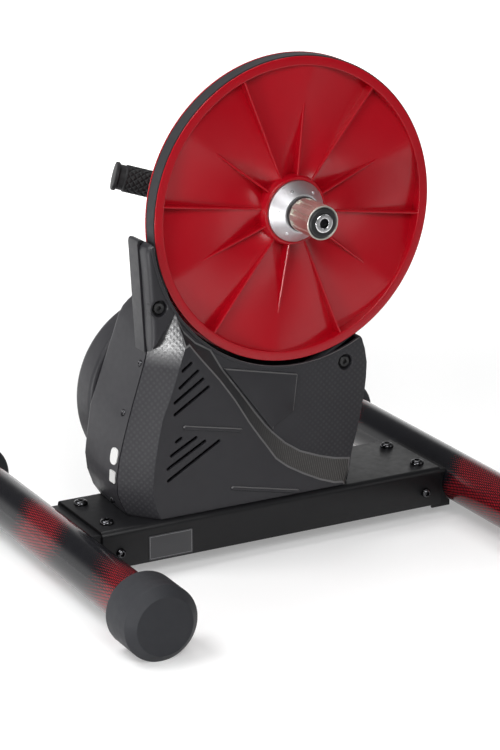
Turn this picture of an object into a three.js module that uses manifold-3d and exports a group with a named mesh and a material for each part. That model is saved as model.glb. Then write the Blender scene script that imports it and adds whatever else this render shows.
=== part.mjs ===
// A direct drive bike trainer: a steel beam on two round legs carries an upright with a fixed axle,
// a large belt-driven disc with a freehub, a flywheel behind, and a two-part plastic housing.
// Millimetres, +Z up. X runs along the beam, -Y is the drive side, the floor is at zero and the
// origin is the middle of the footprint.
import * as THREE from 'three';
import { mergeVertices } from 'three/addons/utils/BufferGeometryUtils.js';
import Module from 'manifold-3d';

const wasm = await Module();
wasm.setup();

// General values
const clearance = 0.3;
const overshoot = 2;
const mergeTolerance = 0.001;
const fullTurn = 2 * Math.PI;
const fineSides = 48;
const midSides = 20;
const coverSides = 36;
const smallSides = 12;
const foldSteps = 4;

// The two axes of rotation, both along Y
const wheelAxis = { x: 30, z: 340 };
const flyAxis = { x: -52.5, z: 142.3 };

// Upright frame and its bolts
const upright = {
  front: 6, back: 24, footLeft: -62, footRight: 84, footFront: -12, footBack: 42, footTop: 66,
  wheelBossRadius: 26, wheelBossFront: -7, wheelBossBack: 34,
  flyBossRadius: 21, flyBossFront: 0, flyBossBack: 42,
  slotRadius: 11, slotX: 24, slotLow: 190, slotHigh: 262,
};
// Outline of the upright's web, as x from the disc's axis and height
const uprightWeb = {
  footLeft: -50, footRight: 74, footZ: 60, kneeRight: 58, kneeZ: 160, headLeft: 8, headRight: 52,
  headZ: 330, neckLeft: -6, neckZ: 232, waistLeft: -40, waistZ: 172, hipLeft: -62, hipZ: 130,
};
const footBolt = {
  left: -46, right: 70, front: -4, back: 34, headRadius: 6, headHeight: 5, shankRadius: 3.5, shankEnd: 46,
};

// Axle and its ends
const axle = { radius: 7.5, bore: 4.8, front: -88, back: 38 };
const capReach = { front: 4.4, back: 4.6 };
const endCap = {
  radius: 9.2, front: axle.front - capReach.front, back: axle.back + capReach.back,
  overlapFront: 5, overlapBack: 3, chamfer: 0.8,
};

// The large driven disc
const belt = { front: -33, back: -17.6, thickness: 3, bigSeat: 147.5, smallSeat: 17.5, seatGap: 0.5 };
const rimStep = { front: 2.5, lip: 4, inner: 6.5, frontLip: 1.4, backLip: 1.8 };
const disc = {
  rimFront: belt.front - rimStep.frontLip, rimBack: belt.back + rimStep.backLip,
  frontRadius: belt.bigSeat + rimStep.front, lipRadius: belt.bigSeat + rimStep.lip,
  rimInner: belt.bigSeat - rimStep.inner,
  hubFront: -36, hubBack: -18, hubRadius: 33, hubRoot: 35, seat: -30,
  webHigh: -31.5, webLow: -21, webSheet: 2.5, webOverlap: 1,
  lobes: 6, firstRibTurn: -8.2 / 360, sectorSteps: 4, webRings: 4,
  ribWidth: 2.2, ribFront: -33.2, ribHubFront: -31.7, ribRoot: 1.5,
  shortRibFront: -33, shortRibEnd: 104,
};

// Left side of the housing, which stands outside the collar round the disc
const housingGap = { left: 33, right: 23, collar: 2.5, plate: 2 };
const collarRadius = disc.lipRadius + housingGap.collar;
const housingLeft = wheelAxis.x - collarRadius - housingGap.left;

// Base: beam, brackets, legs and feet. The beam ends past the housing, the tubes stand off its ends,
// each bracket ends in the notch round its tube, and the bolts are placed from the bracket's outer end.
const standOff = {
  beamEnd: 33, tube: 28, bracketEnd: 15, bracketLength: 73, bolt: 28, crossBolt: 31.5, footFlat: 0.5,
};
const beam = {
  halfLength: standOff.beamEnd - housingLeft, halfWidth: 53, top: 54.5, bottom: 15.5, sheet: 3, fold: 6,
};
const legTube = { x: beam.halfLength + standOff.tube, z: 36, radius: 24.15, sheet: 2.5 };
const bracketOuter = legTube.x - standOff.bracketEnd;
const bracket = {
  inner: bracketOuter - standOff.bracketLength, outer: bracketOuter, bottom: 11, sheet: 3, gap: 0.4,
  fold: 3.5,
};
const footCap = {
  radius: legTube.z + standOff.footFlat, end: 244, length: 49.6, floor: 7.6, chamfer: 8.5, lip: 2,
};
const legBolt = {
  x: bracketOuter - standOff.bolt, y: 30, headRadius: 7, headHeight: 4, shankRadius: 4, shankEnd: 40,
  dome: 1.5,
};
const crossBolt = {
  x: bracketOuter - standOff.crossBolt, z: 31, headRadius: 6.5, headLength: 4, shankRadius: 4, dome: 1.2,
};
const ratingPlate = { left: -141.7, right: -94.5, bottom: 17.5, top: 42.5, sheet: 0.5 };

// Hub flange, freehub and bearings
const flange = { radius: 30, front: -37.7, coneRadius: 19, coneFront: -50, groove: 0.7, grooveRadius: 27 };
const hub = { radius: 20.7, bore: 13.3, back: -8 };
const hubBearing = { width: 7, frontGap: 0.4, inset: 1 };
const freehub = {
  radius: 16.7, front: -89.6, foot: -53.6, tail: -44, tailRadius: 13, tailBore: 8.5,
  bore: 13.7, boreBack: -74.3, rimLength: 1.6, splines: 9, splineDepth: 1.5, splineShare: 0.42,
};
const footRing = {
  radius: 18, front: freehub.foot + clearance, back: flange.coneFront - clearance, chamfer: 0.6,
};
const sealFit = { proud: 1.4, sunk: 6.2, gap: 0.8 };
const seal = { front: freehub.front - sealFit.proud, back: freehub.front + sealFit.sunk, bevel: 1.6 };
const freehubBearing = { front: seal.back + sealFit.gap, back: freehub.boreBack - clearance };

// Flywheel, its shaft, the small pulley and the shaft's bearings
const flywheel = {
  radius: 88, front: 60, back: 84, rimInner: 62, web: 7, hubRadius: 16, hubFront: 58, hubBack: 70,
  chamfer: 1.5,
};
const flyShaft = { radius: 8.5, front: -36, back: 88, chamfer: 1 };
const smallPulley = { flangeRadius: 21, flange: 1.7 };
const flyBearing = { outer: 15, width: 9, inset: 1 };
const flywheelGap = 8.4;
const coverWall = 2.6;
const flywheelCover = {
  radius: flywheel.radius + flywheelGap + coverWall, back: 92, wall: coverWall, chamfer: 4,
};

// Belt tensioner
const tensioner = {
  wheelRadius: 14, armLength: 42, armFront: -14.5, armBack: -8.5, pivotBoss: 9, wheelBoss: 8,
  pinRadius: 4, pinHeadRadius: 6, pinFront: -34.9, pivotFront: -19, pivotHeadRadius: 7, pivotBack: 12,
  uprightBossRadius: 8, alongShare: 0.5,
};

// Brake inside the flywheel's rim
const brake = {
  poles: 3, ringInner: 19, ringOuter: 28, front: 72, poleEnd: 57, poleWidth: 14, poleFront: 76,
  poleBack: 83, shoeWidth: 26, shoeStart: 50, coilStart: 31, coilEnd: 46, coilWall: 4, firstPoleTurn: 0.25,
};

// Handle: a bar with a rubber grip, pointing out to the left and back
const handle = {
  end: { x: -117.5, y: 60, z: 372.5 }, along: { x: 0.9, y: -0.34, z: -0.27 },
  barRadius: 11, barStart: 4, barEnd: 129, gripEnd: 111, gripRadius: 13.3, flangeRadius: 14,
  flangeLength: 3.5, ringStart: 10, grooveDepth: 1, socketStart: 114, socketEnd: 148, socketRadius: 16,
};

// Housing. The frame of shares spans the front shell: left, width, bottom and height
const shell = {
  left: housingLeft,
  width: upright.footRight + housingGap.right - housingLeft,
  bottom: beam.top + clearance, height: 271, wall: 2.6,
  seam: -20, fin: -38, panel: -48, collarRadius, lipWidth: 3, lipRise: 1.2, facetShare: 0.643,
  seamGap: 0.6, rightDraft: 2,
};
const pocket = { radius: 7.8, wall: 2.2, floor: -32, floorSheet: 2.4, hole: 3.3 };
// Bolt pockets below the wheel's axis: the share of the width, and the distance outside the collar
const pocketPlaces = [
  { name: 'upper', widthShare: 0.148, reach: 12.55 },
  { name: 'right', widthShare: 0.918, reach: 15.8 },
];
const shellBolt = { headRadius: 5.5, front: -36.2, shankRadius: 3, end: -10 };
const shellBoss = { radius: 5, front: -26, holeBack: -8 };
const vent = { width: 3.4 };
const ridge = { width: 3.2, rise: 1.3 };
const insetPanel = { rise: 1.6 };

// Front shell, left side: each row is a seam point and the panel's left edge at the same level
const facetSideShares = [
  [[0.117, 0.562], [0.2, 0.54]],
  [[0.083, 0.463], [0.164, 0.443]],
  [[0.048, 0.357], [0.134, 0.374]],
  [[0.026, 0.285], [0.117, 0.302]],
  [[0.007, 0.213], [0.099, 0.211]],
  [[-0.005, 0.14], [0.091, 0.137]],
  [[-0.003, 0.082], [0.092, 0.08]],
  [[0.016, 0.033], [0.107, 0.032]],
  [[0.033, 0], [0.121, 0]],
];
// Front shell, fin: left wall from the top down to the facet
const finWallShares = [[0.123, 1.003], [0.102, 0.973], [0.109, 0.9], [0.117, 0.753], [0.12, 0.66]];
const facetSeamShare = [0.126, 0.598];
const facetWallShare = [0.114, 0.623];
const facetApexShare = [0.208, 0.739];
const panelPeakShare = [0.231, 0.625];
// Front shell, slanting band: each row is its upper edge and its lower edge on the proud panel
const bandShares = [
  [[0.235, 0.677], [0.248, 0.633]],
  [[0.287, 0.625], [0.265, 0.61]],
  [[0.348, 0.59], [0.295, 0.572]],
  [[0.396, 0.509], [0.368, 0.486]],
  [[0.47, 0.411], [0.43, 0.401]],
  [[0.532, 0.325], [0.49, 0.305]],
  [[0.573, 0.273], [0.532, 0.245]],
  [[0.603, 0.241], [0.56, 0.208]],
  [[0.658, 0.19], [0.6, 0.152]],
  [[0.722, 0.148], [0.65, 0.112]],
  [[0.809, 0.114], [0.715, 0.075]],
  [[0.874, 0.095], [0.79, 0.038]],
  [[0.935, 0.085], [0.852, 0.016]],
  [[0.932, 0.04], [0.887, 0.012]],
  [[0.92, 0], [0.897, 0]],
];
// Right side from the bottom up, and the points inside the disc's circle that close the outline
const rightSideShares = [
  [0.927, 0], [0.935, 0.037], [0.948, 0.114], [0.97, 0.189], [0.987, 0.264], [0.999, 0.32],
  [1.008, 0.385], [1.011, 0.446], [1.002, 0.501], [0.989, 0.541], [0.971, 0.563],
];
const closingShares = [[0.7, 0.9], [0.2, 1.003]];
const insetPanelShares = [[0.4, 0.515], [0.709, 0.448], [0.692, 0.311], [0.607, 0.263], [0.603, 0.249]];
const ventShares = [
  [[0.218, 0.542], [0.251, 0.565]],
  [[0.205, 0.481], [0.278, 0.533]],
  [[0.184, 0.429], [0.298, 0.5]],
  [[0.183, 0.385], [0.32, 0.467]],
  [[0.187, 0.283], [0.206, 0.293]],
  [[0.166, 0.234], [0.267, 0.286]],
  [[0.151, 0.187], [0.303, 0.267]],
  [[0.152, 0.142], [0.361, 0.258]],
];
const ridgeShares = [
  [[0.222, 0.331], [0.448, 0.285]],
  [[0.417, 0.069], [0.688, 0.01]],
];

// Rear shell: each row of its left side is a point at the seam and one at its back edge
const rearShell = {
  back: 55, finBack: 4, plateFront: -12, plateSheet: 2.6,
  plateRadius: shell.collarRadius + housingGap.plate,
  shaftHole: 13, uprightGap: 3, footGap: 4, beltGap: 2,
};
const rearLeftShares = [
  [[0.2, 0.742], [0.208, 0.742]],
  [[0.178, 0.72], [0.178, 0.72]],
  [[0.155, 0.68], [0.157, 0.702]],
  [[0.126, 0.598], [0.14, 0.678]],
  [[0.105, 0.527], [0.11, 0.599]],
  [[0.083, 0.463], [0.076, 0.512]],
  [[0.048, 0.357], [0.042, 0.423]],
  [[0.026, 0.285], [0.013, 0.348]],
  [[0.007, 0.213], [-0.006, 0.224]],
  [[-0.005, 0.14], [-0.013, 0.167]],
  [[-0.003, 0.082], [-0.007, 0.108]],
  [[0.016, 0.033], [0.016, 0.043]],
  [[0.033, 0], [0.045, 0]],
];
const rearTopShares = [[1.004, 0.6], [0.965, 0.78], [0.9, 0.83], [0.36, 0.83], [0.25, 0.785]];
const rearFinShares = [
  [0.2, 0.6], [0.176, 0.753], [0.175, 0.986], [0.17, 0.998], [0.104, 1.006], [0.098, 0.995],
  [0.103, 0.905], [0.111, 0.753], [0.117, 0.642], [0.119, 0.595],
];
const sideScrew = { headRadius: 3.2, length: 13, proud: 1.2, shankRadius: 2, headLength: 4.5 };
const sideScrewShares = { upper: [0.1106, 0.5506], middle: [0.0492, 0.3697], lower: [0.0174, 0.0303] };
const sideScrewY = { upper: -12, middle: -7, lower: 5 };
const statusWindow = { front: -17, back: -1, depth: 4 };
const statusWindowShares = { top: [0.0098, 0.2443], bottom: [-0.0023, 0.1852] };
const portCover = { front: -17, back: -2.5, depth: 4 };
const portCoverShares = { top: [-0.0053, 0.1668], bottom: [-0.008, 0.1188] };
const controlBoard = {
  left: 10, right: 86, bottom: 86, top: 156, sheet: 1.6, standOff: 6.4, post: 3, postInset: 8,
};
const powerInlet = { x: 72, z: 76, radius: 6, length: 12.2, proud: 1.2, bore: 2.5, boreDepth: 9 };

// Colours, as read from the picture
const colours = {
  red: 0xb01228, graphite: 0x47474b, steelBlack: 0x1c1c1f, glossBlack: 0x0d0d0f, rubber: 0x3a3d42,
  aluminium: 0xc9c9cc, freehub: 0xa48d80, polished: 0xdadadd, dark: 0x151516, copper: 0xa4632f,
  board: 0x1f5b36, white: 0xeeeeec, label: 0xb9babd, zinc: 0x9c9ea2, casting: 0x2b2c2f,
};
const finishes = {
  paint: { roughness: 0.5, metalness: 0 },
  gloss: { roughness: 0.12, metalness: 0 },
  matte: { roughness: 0.65, metalness: 0 },
  rubber: { roughness: 0.8, metalness: 0 },
  metal: { roughness: 0.35, metalness: 1 },
  polish: { roughness: 0.15, metalness: 1 },
};

const trainer = new THREE.Group();

// Adds one named piece. Rotations are in radians about X, Y and Z.
function addPiece(name, shape, colour, finish, place = {}) {
  const geometry = shape.isBufferGeometry ? shape : geometryOf(shape);
  const material = new THREE.MeshStandardMaterial({ color: colour, ...finish });
  const mesh = new THREE.Mesh(geometry, material);
  mesh.name = name;
  mesh.position.set(place.x ?? 0, place.y ?? 0, place.z ?? 0);
  mesh.rotation.set(place.turnX ?? 0, place.turnY ?? 0, place.turnZ ?? 0);
  trainer.add(mesh);
  return mesh;
}

// Turns a geometry into a solid with shared vertices and outward faces.
function solid(geometry) {
  const bare = geometry.clone();
  bare.deleteAttribute('normal');
  bare.deleteAttribute('uv');
  const merged = mergeVertices(bare, mergeTolerance);
  const points = merged.attributes.position.array;
  const order = merged.index.array;
  const triangles = [];
  let volume = 0;
  for (let i = 0; i < order.length; i += 3) {
    const [a, b, c] = [order[i], order[i + 1], order[i + 2]];
    if (a === b || b === c || c === a) continue;
    triangles.push(a, b, c);
    const pa = new THREE.Vector3().fromArray(points, 3 * a);
    const pb = new THREE.Vector3().fromArray(points, 3 * b);
    const pc = new THREE.Vector3().fromArray(points, 3 * c);
    volume += pa.dot(pb.cross(pc));
  }
  if (volume < 0) triangles.reverse();
  return new wasm.Manifold(new wasm.Mesh({
    numProp: 3,
    vertProperties: new Float32Array(points),
    triVerts: new Uint32Array(triangles),
  }));
}

function geometryOf(body) {
  const mesh = body.getMesh();
  const geometry = new THREE.BufferGeometry();
  const points = [];
  for (let i = 0; i < mesh.vertProperties.length; i += mesh.numProp) {
    points.push(mesh.vertProperties[i], mesh.vertProperties[i + 1], mesh.vertProperties[i + 2]);
  }
  geometry.setAttribute('position', new THREE.Float32BufferAttribute(points, 3));
  geometry.setIndex(Array.from(mesh.triVerts));
  geometry.computeVertexNormals();
  return geometry;
}

function join(first, ...others) {
  return others.reduce((body, other) => body.add(other), first);
}

function cut(first, ...tools) {
  return tools.reduce((body, tool) => body.subtract(tool), first);
}

function box(x0, x1, y0, y1, z0, z1) {
  const geometry = new THREE.BoxGeometry(x1 - x0, y1 - y0, z1 - z0);
  geometry.translate((x0 + x1) / 2, (y0 + y1) / 2, (z0 + z1) / 2);
  return solid(geometry);
}

// A body turned about an axis along Y. The profile is a list of [radius, y].
function turned(profile, axis, sides) {
  const closed = [...profile, profile[0]];
  const onAxis = profile[0][0] === 0;
  const points = (onAxis ? profile : closed).map(([r, y]) => new THREE.Vector2(r, y));
  const geometry = new THREE.LatheGeometry(points, sides);
  geometry.translate(axis.x, 0, axis.z);
  return solid(geometry);
}

function rod(radius, y0, y1, axis, sides) {
  return turned([[0, y0], [radius, y0], [radius, y1], [0, y1]], axis, sides);
}

function ring(inner, outer, y0, y1, axis, sides) {
  return turned([[inner, y0], [outer, y0], [outer, y1], [inner, y1]], axis, sides);
}

function shapeOf(points) {
  return new THREE.Shape(points.map(([a, b]) => new THREE.Vector2(a, b)));
}

// An outline in x and z, drawn out from y0 to y1.
function prism(points, y0, y1) {
  const geometry = new THREE.ExtrudeGeometry(shapeOf(points), { depth: y1 - y0, bevelEnabled: false });
  geometry.rotateX(Math.PI / 2);
  geometry.translate(0, y1, 0);
  return solid(geometry);
}

// An outline in y and z, drawn out from x0 to x1.
function beamPrism(points, x0, x1) {
  const geometry = new THREE.ExtrudeGeometry(shapeOf(points), { depth: x1 - x0, bevelEnabled: false });
  const axes = new THREE.Matrix4().makeBasis(
    new THREE.Vector3(0, 1, 0), new THREE.Vector3(0, 0, 1), new THREE.Vector3(1, 0, 0));
  geometry.applyMatrix4(axes);
  geometry.translate(x0, 0, 0);
  return solid(geometry);
}

// A turned rod that points from a start along a direction. The profile is a list of [radius, distance].
function turnedAlong(profile, start, along, sides) {
  const points = profile.map(([r, s]) => new THREE.Vector2(r, s));
  const geometry = new THREE.LatheGeometry(points, sides);
  const direction = new THREE.Vector3(along.x, along.y, along.z).normalize();
  const turn = new THREE.Quaternion().setFromUnitVectors(new THREE.Vector3(0, 1, 0), direction);
  geometry.applyQuaternion(turn);
  geometry.translate(start.x, start.y, start.z);
  return solid(geometry);
}

function rodAlong(radius, s0, s1, start, along, sides) {
  return turnedAlong([[0, s0], [radius, s0], [radius, s1], [0, s1]], start, along, sides);
}

// A closed body between two outlines with matching points, one at each depth.
function loft(near, yNear, far, yFar) {
  const count = near.length;
  const points = [];
  for (const [x, z] of near) points.push(x, yNear, z);
  for (const [x, z] of far) points.push(x, yFar, z);
  const triangles = [];
  for (let i = 0; i < count; i++) {
    const j = (i + 1) % count;
    triangles.push(i, count + j, j, i, count + i, count + j);
  }
  addCap(triangles, near, 0, 1);
  addCap(triangles, far, count, -1);
  const geometry = new THREE.BufferGeometry();
  geometry.setAttribute('position', new THREE.Float32BufferAttribute(points, 3));
  geometry.setIndex(triangles);
  return solid(geometry);
}

function areaOf(points) {
  return points.reduce((sum, [x, z], i) => {
    const [nextX, nextZ] = points[(i + 1) % points.length];
    return sum + (x * nextZ - nextX * z) / 2;
  }, 0);
}

function addCap(triangles, outline, offset, side) {
  const flat = outline.map(([x, z]) => new THREE.Vector2(x, z));
  const outlineSide = Math.sign(areaOf(outline));
  for (const [a, b, c] of THREE.ShapeUtils.triangulateShape(flat, [])) {
    const turn = Math.sign(areaOf([outline[a], outline[b], outline[c]]));
    const order = turn * outlineSide * side < 0 ? [a, c, b] : [a, b, c];
    triangles.push(...order.map((i) => i + offset));
  }
}

// Moves each point of an outline inward by a distance. Repeated points move together.
function inset(outline, distance) {
  const side = Math.sign(areaOf(outline));
  const count = outline.length;
  const near = ([ax, az], [bx, bz]) => Math.hypot(ax - bx, az - bz) < mergeTolerance;
  return outline.map((point, i) => {
    let before = i;
    let after = i;
    while (near(outline[before], point)) before = (before + count - 1) % count;
    while (near(outline[after], point)) after = (after + 1) % count;
    const inNormal = normalTo(outline[before], point, side);
    const outNormal = normalTo(point, outline[after], side);
    const spread = Math.max(1 + inNormal[0] * outNormal[0] + inNormal[1] * outNormal[1], inset.sharpest);
    return [
      point[0] + distance * (inNormal[0] + outNormal[0]) / spread,
      point[1] + distance * (inNormal[1] + outNormal[1]) / spread,
    ];
  });
}
inset.sharpest = 0.4;

function normalTo([ax, az], [bx, bz], side) {
  const length = Math.hypot(bx - ax, bz - az);
  return [-side * (bz - az) / length, side * (bx - ax) / length];
}

const fromShares = ([sx, sz]) => [shell.left + sx * shell.width, shell.bottom + sz * shell.height];
const between = (a, b, share) => [a[0] + (b[0] - a[0]) * share, a[1] + (b[1] - a[1]) * share];

// A straight bar with round ends in x and z, as an outline.
function capsule([ax, az], [bx, bz], radiusA, radiusB, steps) {
  const heading = Math.atan2(bz - az, bx - ax);
  const points = [];
  for (let i = 0; i <= steps; i++) {
    const angle = heading - Math.PI / 2 + Math.PI * i / steps;
    points.push([bx + radiusB * Math.cos(angle), bz + radiusB * Math.sin(angle)]);
  }
  for (let i = 0; i <= steps; i++) {
    const angle = heading + Math.PI / 2 + Math.PI * i / steps;
    points.push([ax + radiusA * Math.cos(angle), az + radiusA * Math.sin(angle)]);
  }
  return points;
}

// Base beam: a folded channel, open underneath
function channelOutline(halfWidth, top, bottom, fold) {
  const points = [[-halfWidth, bottom]];
  for (let i = 0; i <= foldSteps; i++) {
    const angle = Math.PI - (Math.PI / 2) * i / foldSteps;
    points.push([-halfWidth + fold + fold * Math.cos(angle), top - fold + fold * Math.sin(angle)]);
  }
  for (let i = 0; i <= foldSteps; i++) {
    const angle = Math.PI / 2 - (Math.PI / 2) * i / foldSteps;
    points.push([halfWidth - fold + fold * Math.cos(angle), top - fold + fold * Math.sin(angle)]);
  }
  points.push([halfWidth, bottom]);
  return points;
}

function channel(halfWidth, top, bottom, sheet, fold, x0, x1) {
  const outer = beamPrism(channelOutline(halfWidth, top, bottom, fold), x0, x1);
  const hollow = channelOutline(halfWidth - sheet, top - sheet, bottom - overshoot, fold - sheet);
  return cut(outer, beamPrism(hollow, x0 - overshoot, x1 + overshoot));
}

function uprightRod(radius, z0, z1, x, y, sides) {
  const geometry = new THREE.CylinderGeometry(radius, radius, z1 - z0, sides);
  geometry.rotateX(Math.PI / 2);
  geometry.translate(x, y, (z0 + z1) / 2);
  return solid(geometry);
}

const ends = [['rear', -1], ['front', 1]];
const sides = [['drive', -1], ['off', 1]];
const footBoltPlaces = [
  ['rear_drive', footBolt.left, footBolt.front],
  ['rear_off', footBolt.left, footBolt.back],
  ['front_drive', footBolt.right, footBolt.front],
  ['front_off', footBolt.right, footBolt.back],
];

function legBoltHoles(z0, z1, end) {
  return sides.map(([, side]) => uprightRod(
    legBolt.shankRadius + clearance, z0, z1, end * legBolt.x, side * legBolt.y, smallSides));
}

function crossBoltHole(end) {
  const reach = beam.halfWidth + overshoot;
  const axis = { x: end * crossBolt.x, z: crossBolt.z };
  return rod(crossBolt.shankRadius + clearance, -reach, reach, axis, smallSides);
}

let base = channel(
  beam.halfWidth, beam.top, beam.bottom, beam.sheet, beam.fold, -beam.halfLength, beam.halfLength);
for (const [, end] of ends) {
  base = cut(base, ...legBoltHoles(beam.bottom, beam.top + overshoot, end), crossBoltHole(end));
}
for (const [, x, y] of footBoltPlaces) {
  const hole = footBolt.shankRadius + clearance;
  base = cut(base, uprightRod(hole, beam.bottom, beam.top + overshoot, x, y, smallSides));
}
addPiece('base_beam', base, colours.steelBlack, finishes.paint);

// Leg brackets: small channels inside the beam's ends, notched round the leg tubes
const bracketTop = beam.top - beam.sheet - bracket.gap;
const bracketHalfWidth = beam.halfWidth - beam.sheet - bracket.gap;
for (const [endName, end] of ends) {
  const [x0, x1] = [end * bracket.inner, end * bracket.outer].sort((a, b) => a - b);
  let body = channel(bracketHalfWidth, bracketTop, bracket.bottom, bracket.sheet, bracket.fold, x0, x1);
  const notch = rod(legTube.radius + clearance, -beam.halfWidth, beam.halfWidth,
    { x: end * legTube.x, z: legTube.z }, midSides);
  body = cut(body, notch, ...legBoltHoles(bracket.bottom, beam.top, end), crossBoltHole(end));
  addPiece(`${endName}_leg_bracket`, body, colours.steelBlack, finishes.paint);
}

// Leg tubes, turned about their own axes and then placed
const origin = { x: 0, z: 0 };
const tubeHalfLength = footCap.end - footCap.floor - clearance;
const tubeBody = ring(
  legTube.radius - legTube.sheet, legTube.radius, -tubeHalfLength, tubeHalfLength, origin, midSides);
for (const [endName, end] of ends) {
  addPiece(`${endName}_leg_tube`, tubeBody, colours.glossBlack, finishes.gloss,
    { x: end * legTube.x, z: legTube.z });
}

// Foot caps with a flat on the floor
function footCapBody(side) {
  const inner = footCap.end - footCap.length;
  const profile = [
    [0, footCap.end],
    [footCap.radius - footCap.chamfer, footCap.end],
    [footCap.radius, footCap.end - footCap.chamfer],
    [footCap.radius, inner + footCap.lip],
    [footCap.radius - footCap.lip, inner],
    [legTube.radius + clearance, inner],
    [legTube.radius + clearance, footCap.end - footCap.floor],
    [0, footCap.end - footCap.floor],
  ].map(([r, y]) => [r, side * y]);
  const body = turned(profile, origin, midSides);
  const below = footCap.radius + overshoot;
  const reach = footCap.end + overshoot;
  return cut(body, box(-below, below, -reach, reach, -below, -legTube.z));
}
for (const [endName, end] of ends) {
  for (const [sideName, side] of sides) {
    addPiece(`foot_cap_${endName}_${sideName}`, footCapBody(side), colours.rubber, finishes.rubber,
      { x: end * legTube.x, z: legTube.z });
  }
}

// Bolts with a domed head. The head stands on zero and the shank goes down along Z.
function domedBolt(headRadius, headHeight, dome, shankRadius, shankLength) {
  const profile = [
    [0, headHeight], [headRadius - dome, headHeight], [headRadius, headHeight - dome], [headRadius, 0],
    [shankRadius, 0], [shankRadius, -shankLength], [0, -shankLength],
  ].map(([r, y]) => new THREE.Vector2(r, y));
  const geometry = new THREE.LatheGeometry(profile, smallSides);
  geometry.rotateX(Math.PI / 2);
  return solid(geometry);
}
const legBoltBody = domedBolt(
  legBolt.headRadius, legBolt.headHeight, legBolt.dome, legBolt.shankRadius, beam.top - legBolt.shankEnd);
for (const [endName, end] of ends) {
  for (const [sideName, side] of sides) {
    addPiece(`leg_bolt_${endName}_${sideName}`, legBoltBody, colours.dark, finishes.metal,
      { x: end * legBolt.x, y: side * legBolt.y, z: beam.top + clearance });
  }
}

// Cross bolts with a head at each end, on the beam's sides
const crossFace = beam.halfWidth + clearance;
const crossOuter = crossFace + crossBolt.headLength;
const crossProfile = [
  [0, -crossOuter], [crossBolt.headRadius - crossBolt.dome, -crossOuter],
  [crossBolt.headRadius, -crossOuter + crossBolt.dome], [crossBolt.headRadius, -crossFace],
  [crossBolt.shankRadius, -crossFace], [crossBolt.shankRadius, crossFace],
  [crossBolt.headRadius, crossFace], [crossBolt.headRadius, crossOuter - crossBolt.dome],
  [crossBolt.headRadius - crossBolt.dome, crossOuter], [0, crossOuter],
];
const crossBody = turned(crossProfile, origin, smallSides);
for (const [endName, end] of ends) {
  addPiece(`leg_cross_bolt_${endName}`, crossBody, colours.dark, finishes.metal,
    { x: end * crossBolt.x, z: crossBolt.z });
}

const plateBack = -beam.halfWidth - clearance;
addPiece('rating_plate', box(
  ratingPlate.left, ratingPlate.right, plateBack - ratingPlate.sheet, plateBack,
  ratingPlate.bottom, ratingPlate.top,
), colours.label, finishes.matte);

// Belt line: the two circles that the belt runs round, and its straight right-hand run. The gap at
// the seats lets the facets of the seat turn inside the facets of the belt.
const beltInnerBig = belt.bigSeat + belt.seatGap;
const beltInnerSmall = belt.smallSeat + belt.seatGap;
const toFly = { x: flyAxis.x - wheelAxis.x, z: flyAxis.z - wheelAxis.z };
const axisDistance = Math.hypot(toFly.x, toFly.z);
const axisHeading = Math.atan2(toFly.z, toFly.x);
const wrap = Math.acos((beltInnerBig - beltInnerSmall) / axisDistance);

function beltLoop(offset) {
  const points = [];
  const addArc = (centre, radius, from, to, steps) => {
    for (let i = 0; i <= steps; i++) {
      const angle = from + (to - from) * i / steps;
      points.push([centre.x + radius * Math.cos(angle), centre.z + radius * Math.sin(angle)]);
    }
  };
  const bigArc = fullTurn - 2 * wrap;
  const bigSteps = Math.round(fineSides * bigArc / fullTurn);
  addArc(wheelAxis, beltInnerBig + offset, axisHeading + wrap, axisHeading + wrap + bigArc, bigSteps);
  addArc(flyAxis, beltInnerSmall + offset, axisHeading - wrap, axisHeading + wrap, smallSides);
  return points;
}
addPiece('drive_belt', cut(
  prism(beltLoop(belt.thickness), belt.front, belt.back),
  prism(beltLoop(0), belt.front - overshoot, belt.back + overshoot),
), colours.dark, finishes.rubber);

// Tensioner: its wheel touches the back of the right-hand run, and its arm lies along the run
const runNormal = [Math.cos(axisHeading + wrap), Math.sin(axisHeading + wrap)];
const runHeading = [runNormal[1], -runNormal[0]];
const runStart = [wheelAxis.x + runNormal[0] * beltInnerBig, wheelAxis.z + runNormal[1] * beltInnerBig];
const runEnd = [flyAxis.x + runNormal[0] * beltInnerSmall, flyAxis.z + runNormal[1] * beltInnerSmall];
const runMiddle = between(runStart, runEnd, tensioner.alongShare);
const wheelOffset = belt.thickness + clearance + tensioner.wheelRadius;
const idler = { x: runMiddle[0] + runNormal[0] * wheelOffset, z: runMiddle[1] + runNormal[1] * wheelOffset };
const pivot = {
  x: idler.x + runHeading[0] * tensioner.armLength,
  z: idler.z + runHeading[1] * tensioner.armLength,
};
const pinHole = tensioner.pinRadius + clearance;
addPiece('tensioner_wheel',
  ring(pinHole, tensioner.wheelRadius, belt.front, belt.back, idler, midSides), colours.dark, finishes.matte);
addPiece('tensioner_pin', turned([
  [0, tensioner.pinFront], [tensioner.pinHeadRadius, tensioner.pinFront],
  [tensioner.pinHeadRadius, belt.front - clearance], [tensioner.pinRadius, belt.front - clearance],
  [tensioner.pinRadius, tensioner.armBack], [0, tensioner.armBack],
], idler, smallSides), colours.zinc, finishes.metal);
const armOutline = capsule(
  [pivot.x, pivot.z], [idler.x, idler.z], tensioner.pivotBoss, tensioner.wheelBoss, smallSides / 2);
addPiece('tensioner_arm', cut(
  prism(armOutline, tensioner.armFront, tensioner.armBack),
  rod(pinHole, tensioner.armFront - overshoot, tensioner.armBack + overshoot, pivot, smallSides),
  rod(pinHole, tensioner.armFront - overshoot, tensioner.armBack + overshoot, idler, smallSides),
), colours.zinc, finishes.metal);
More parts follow.
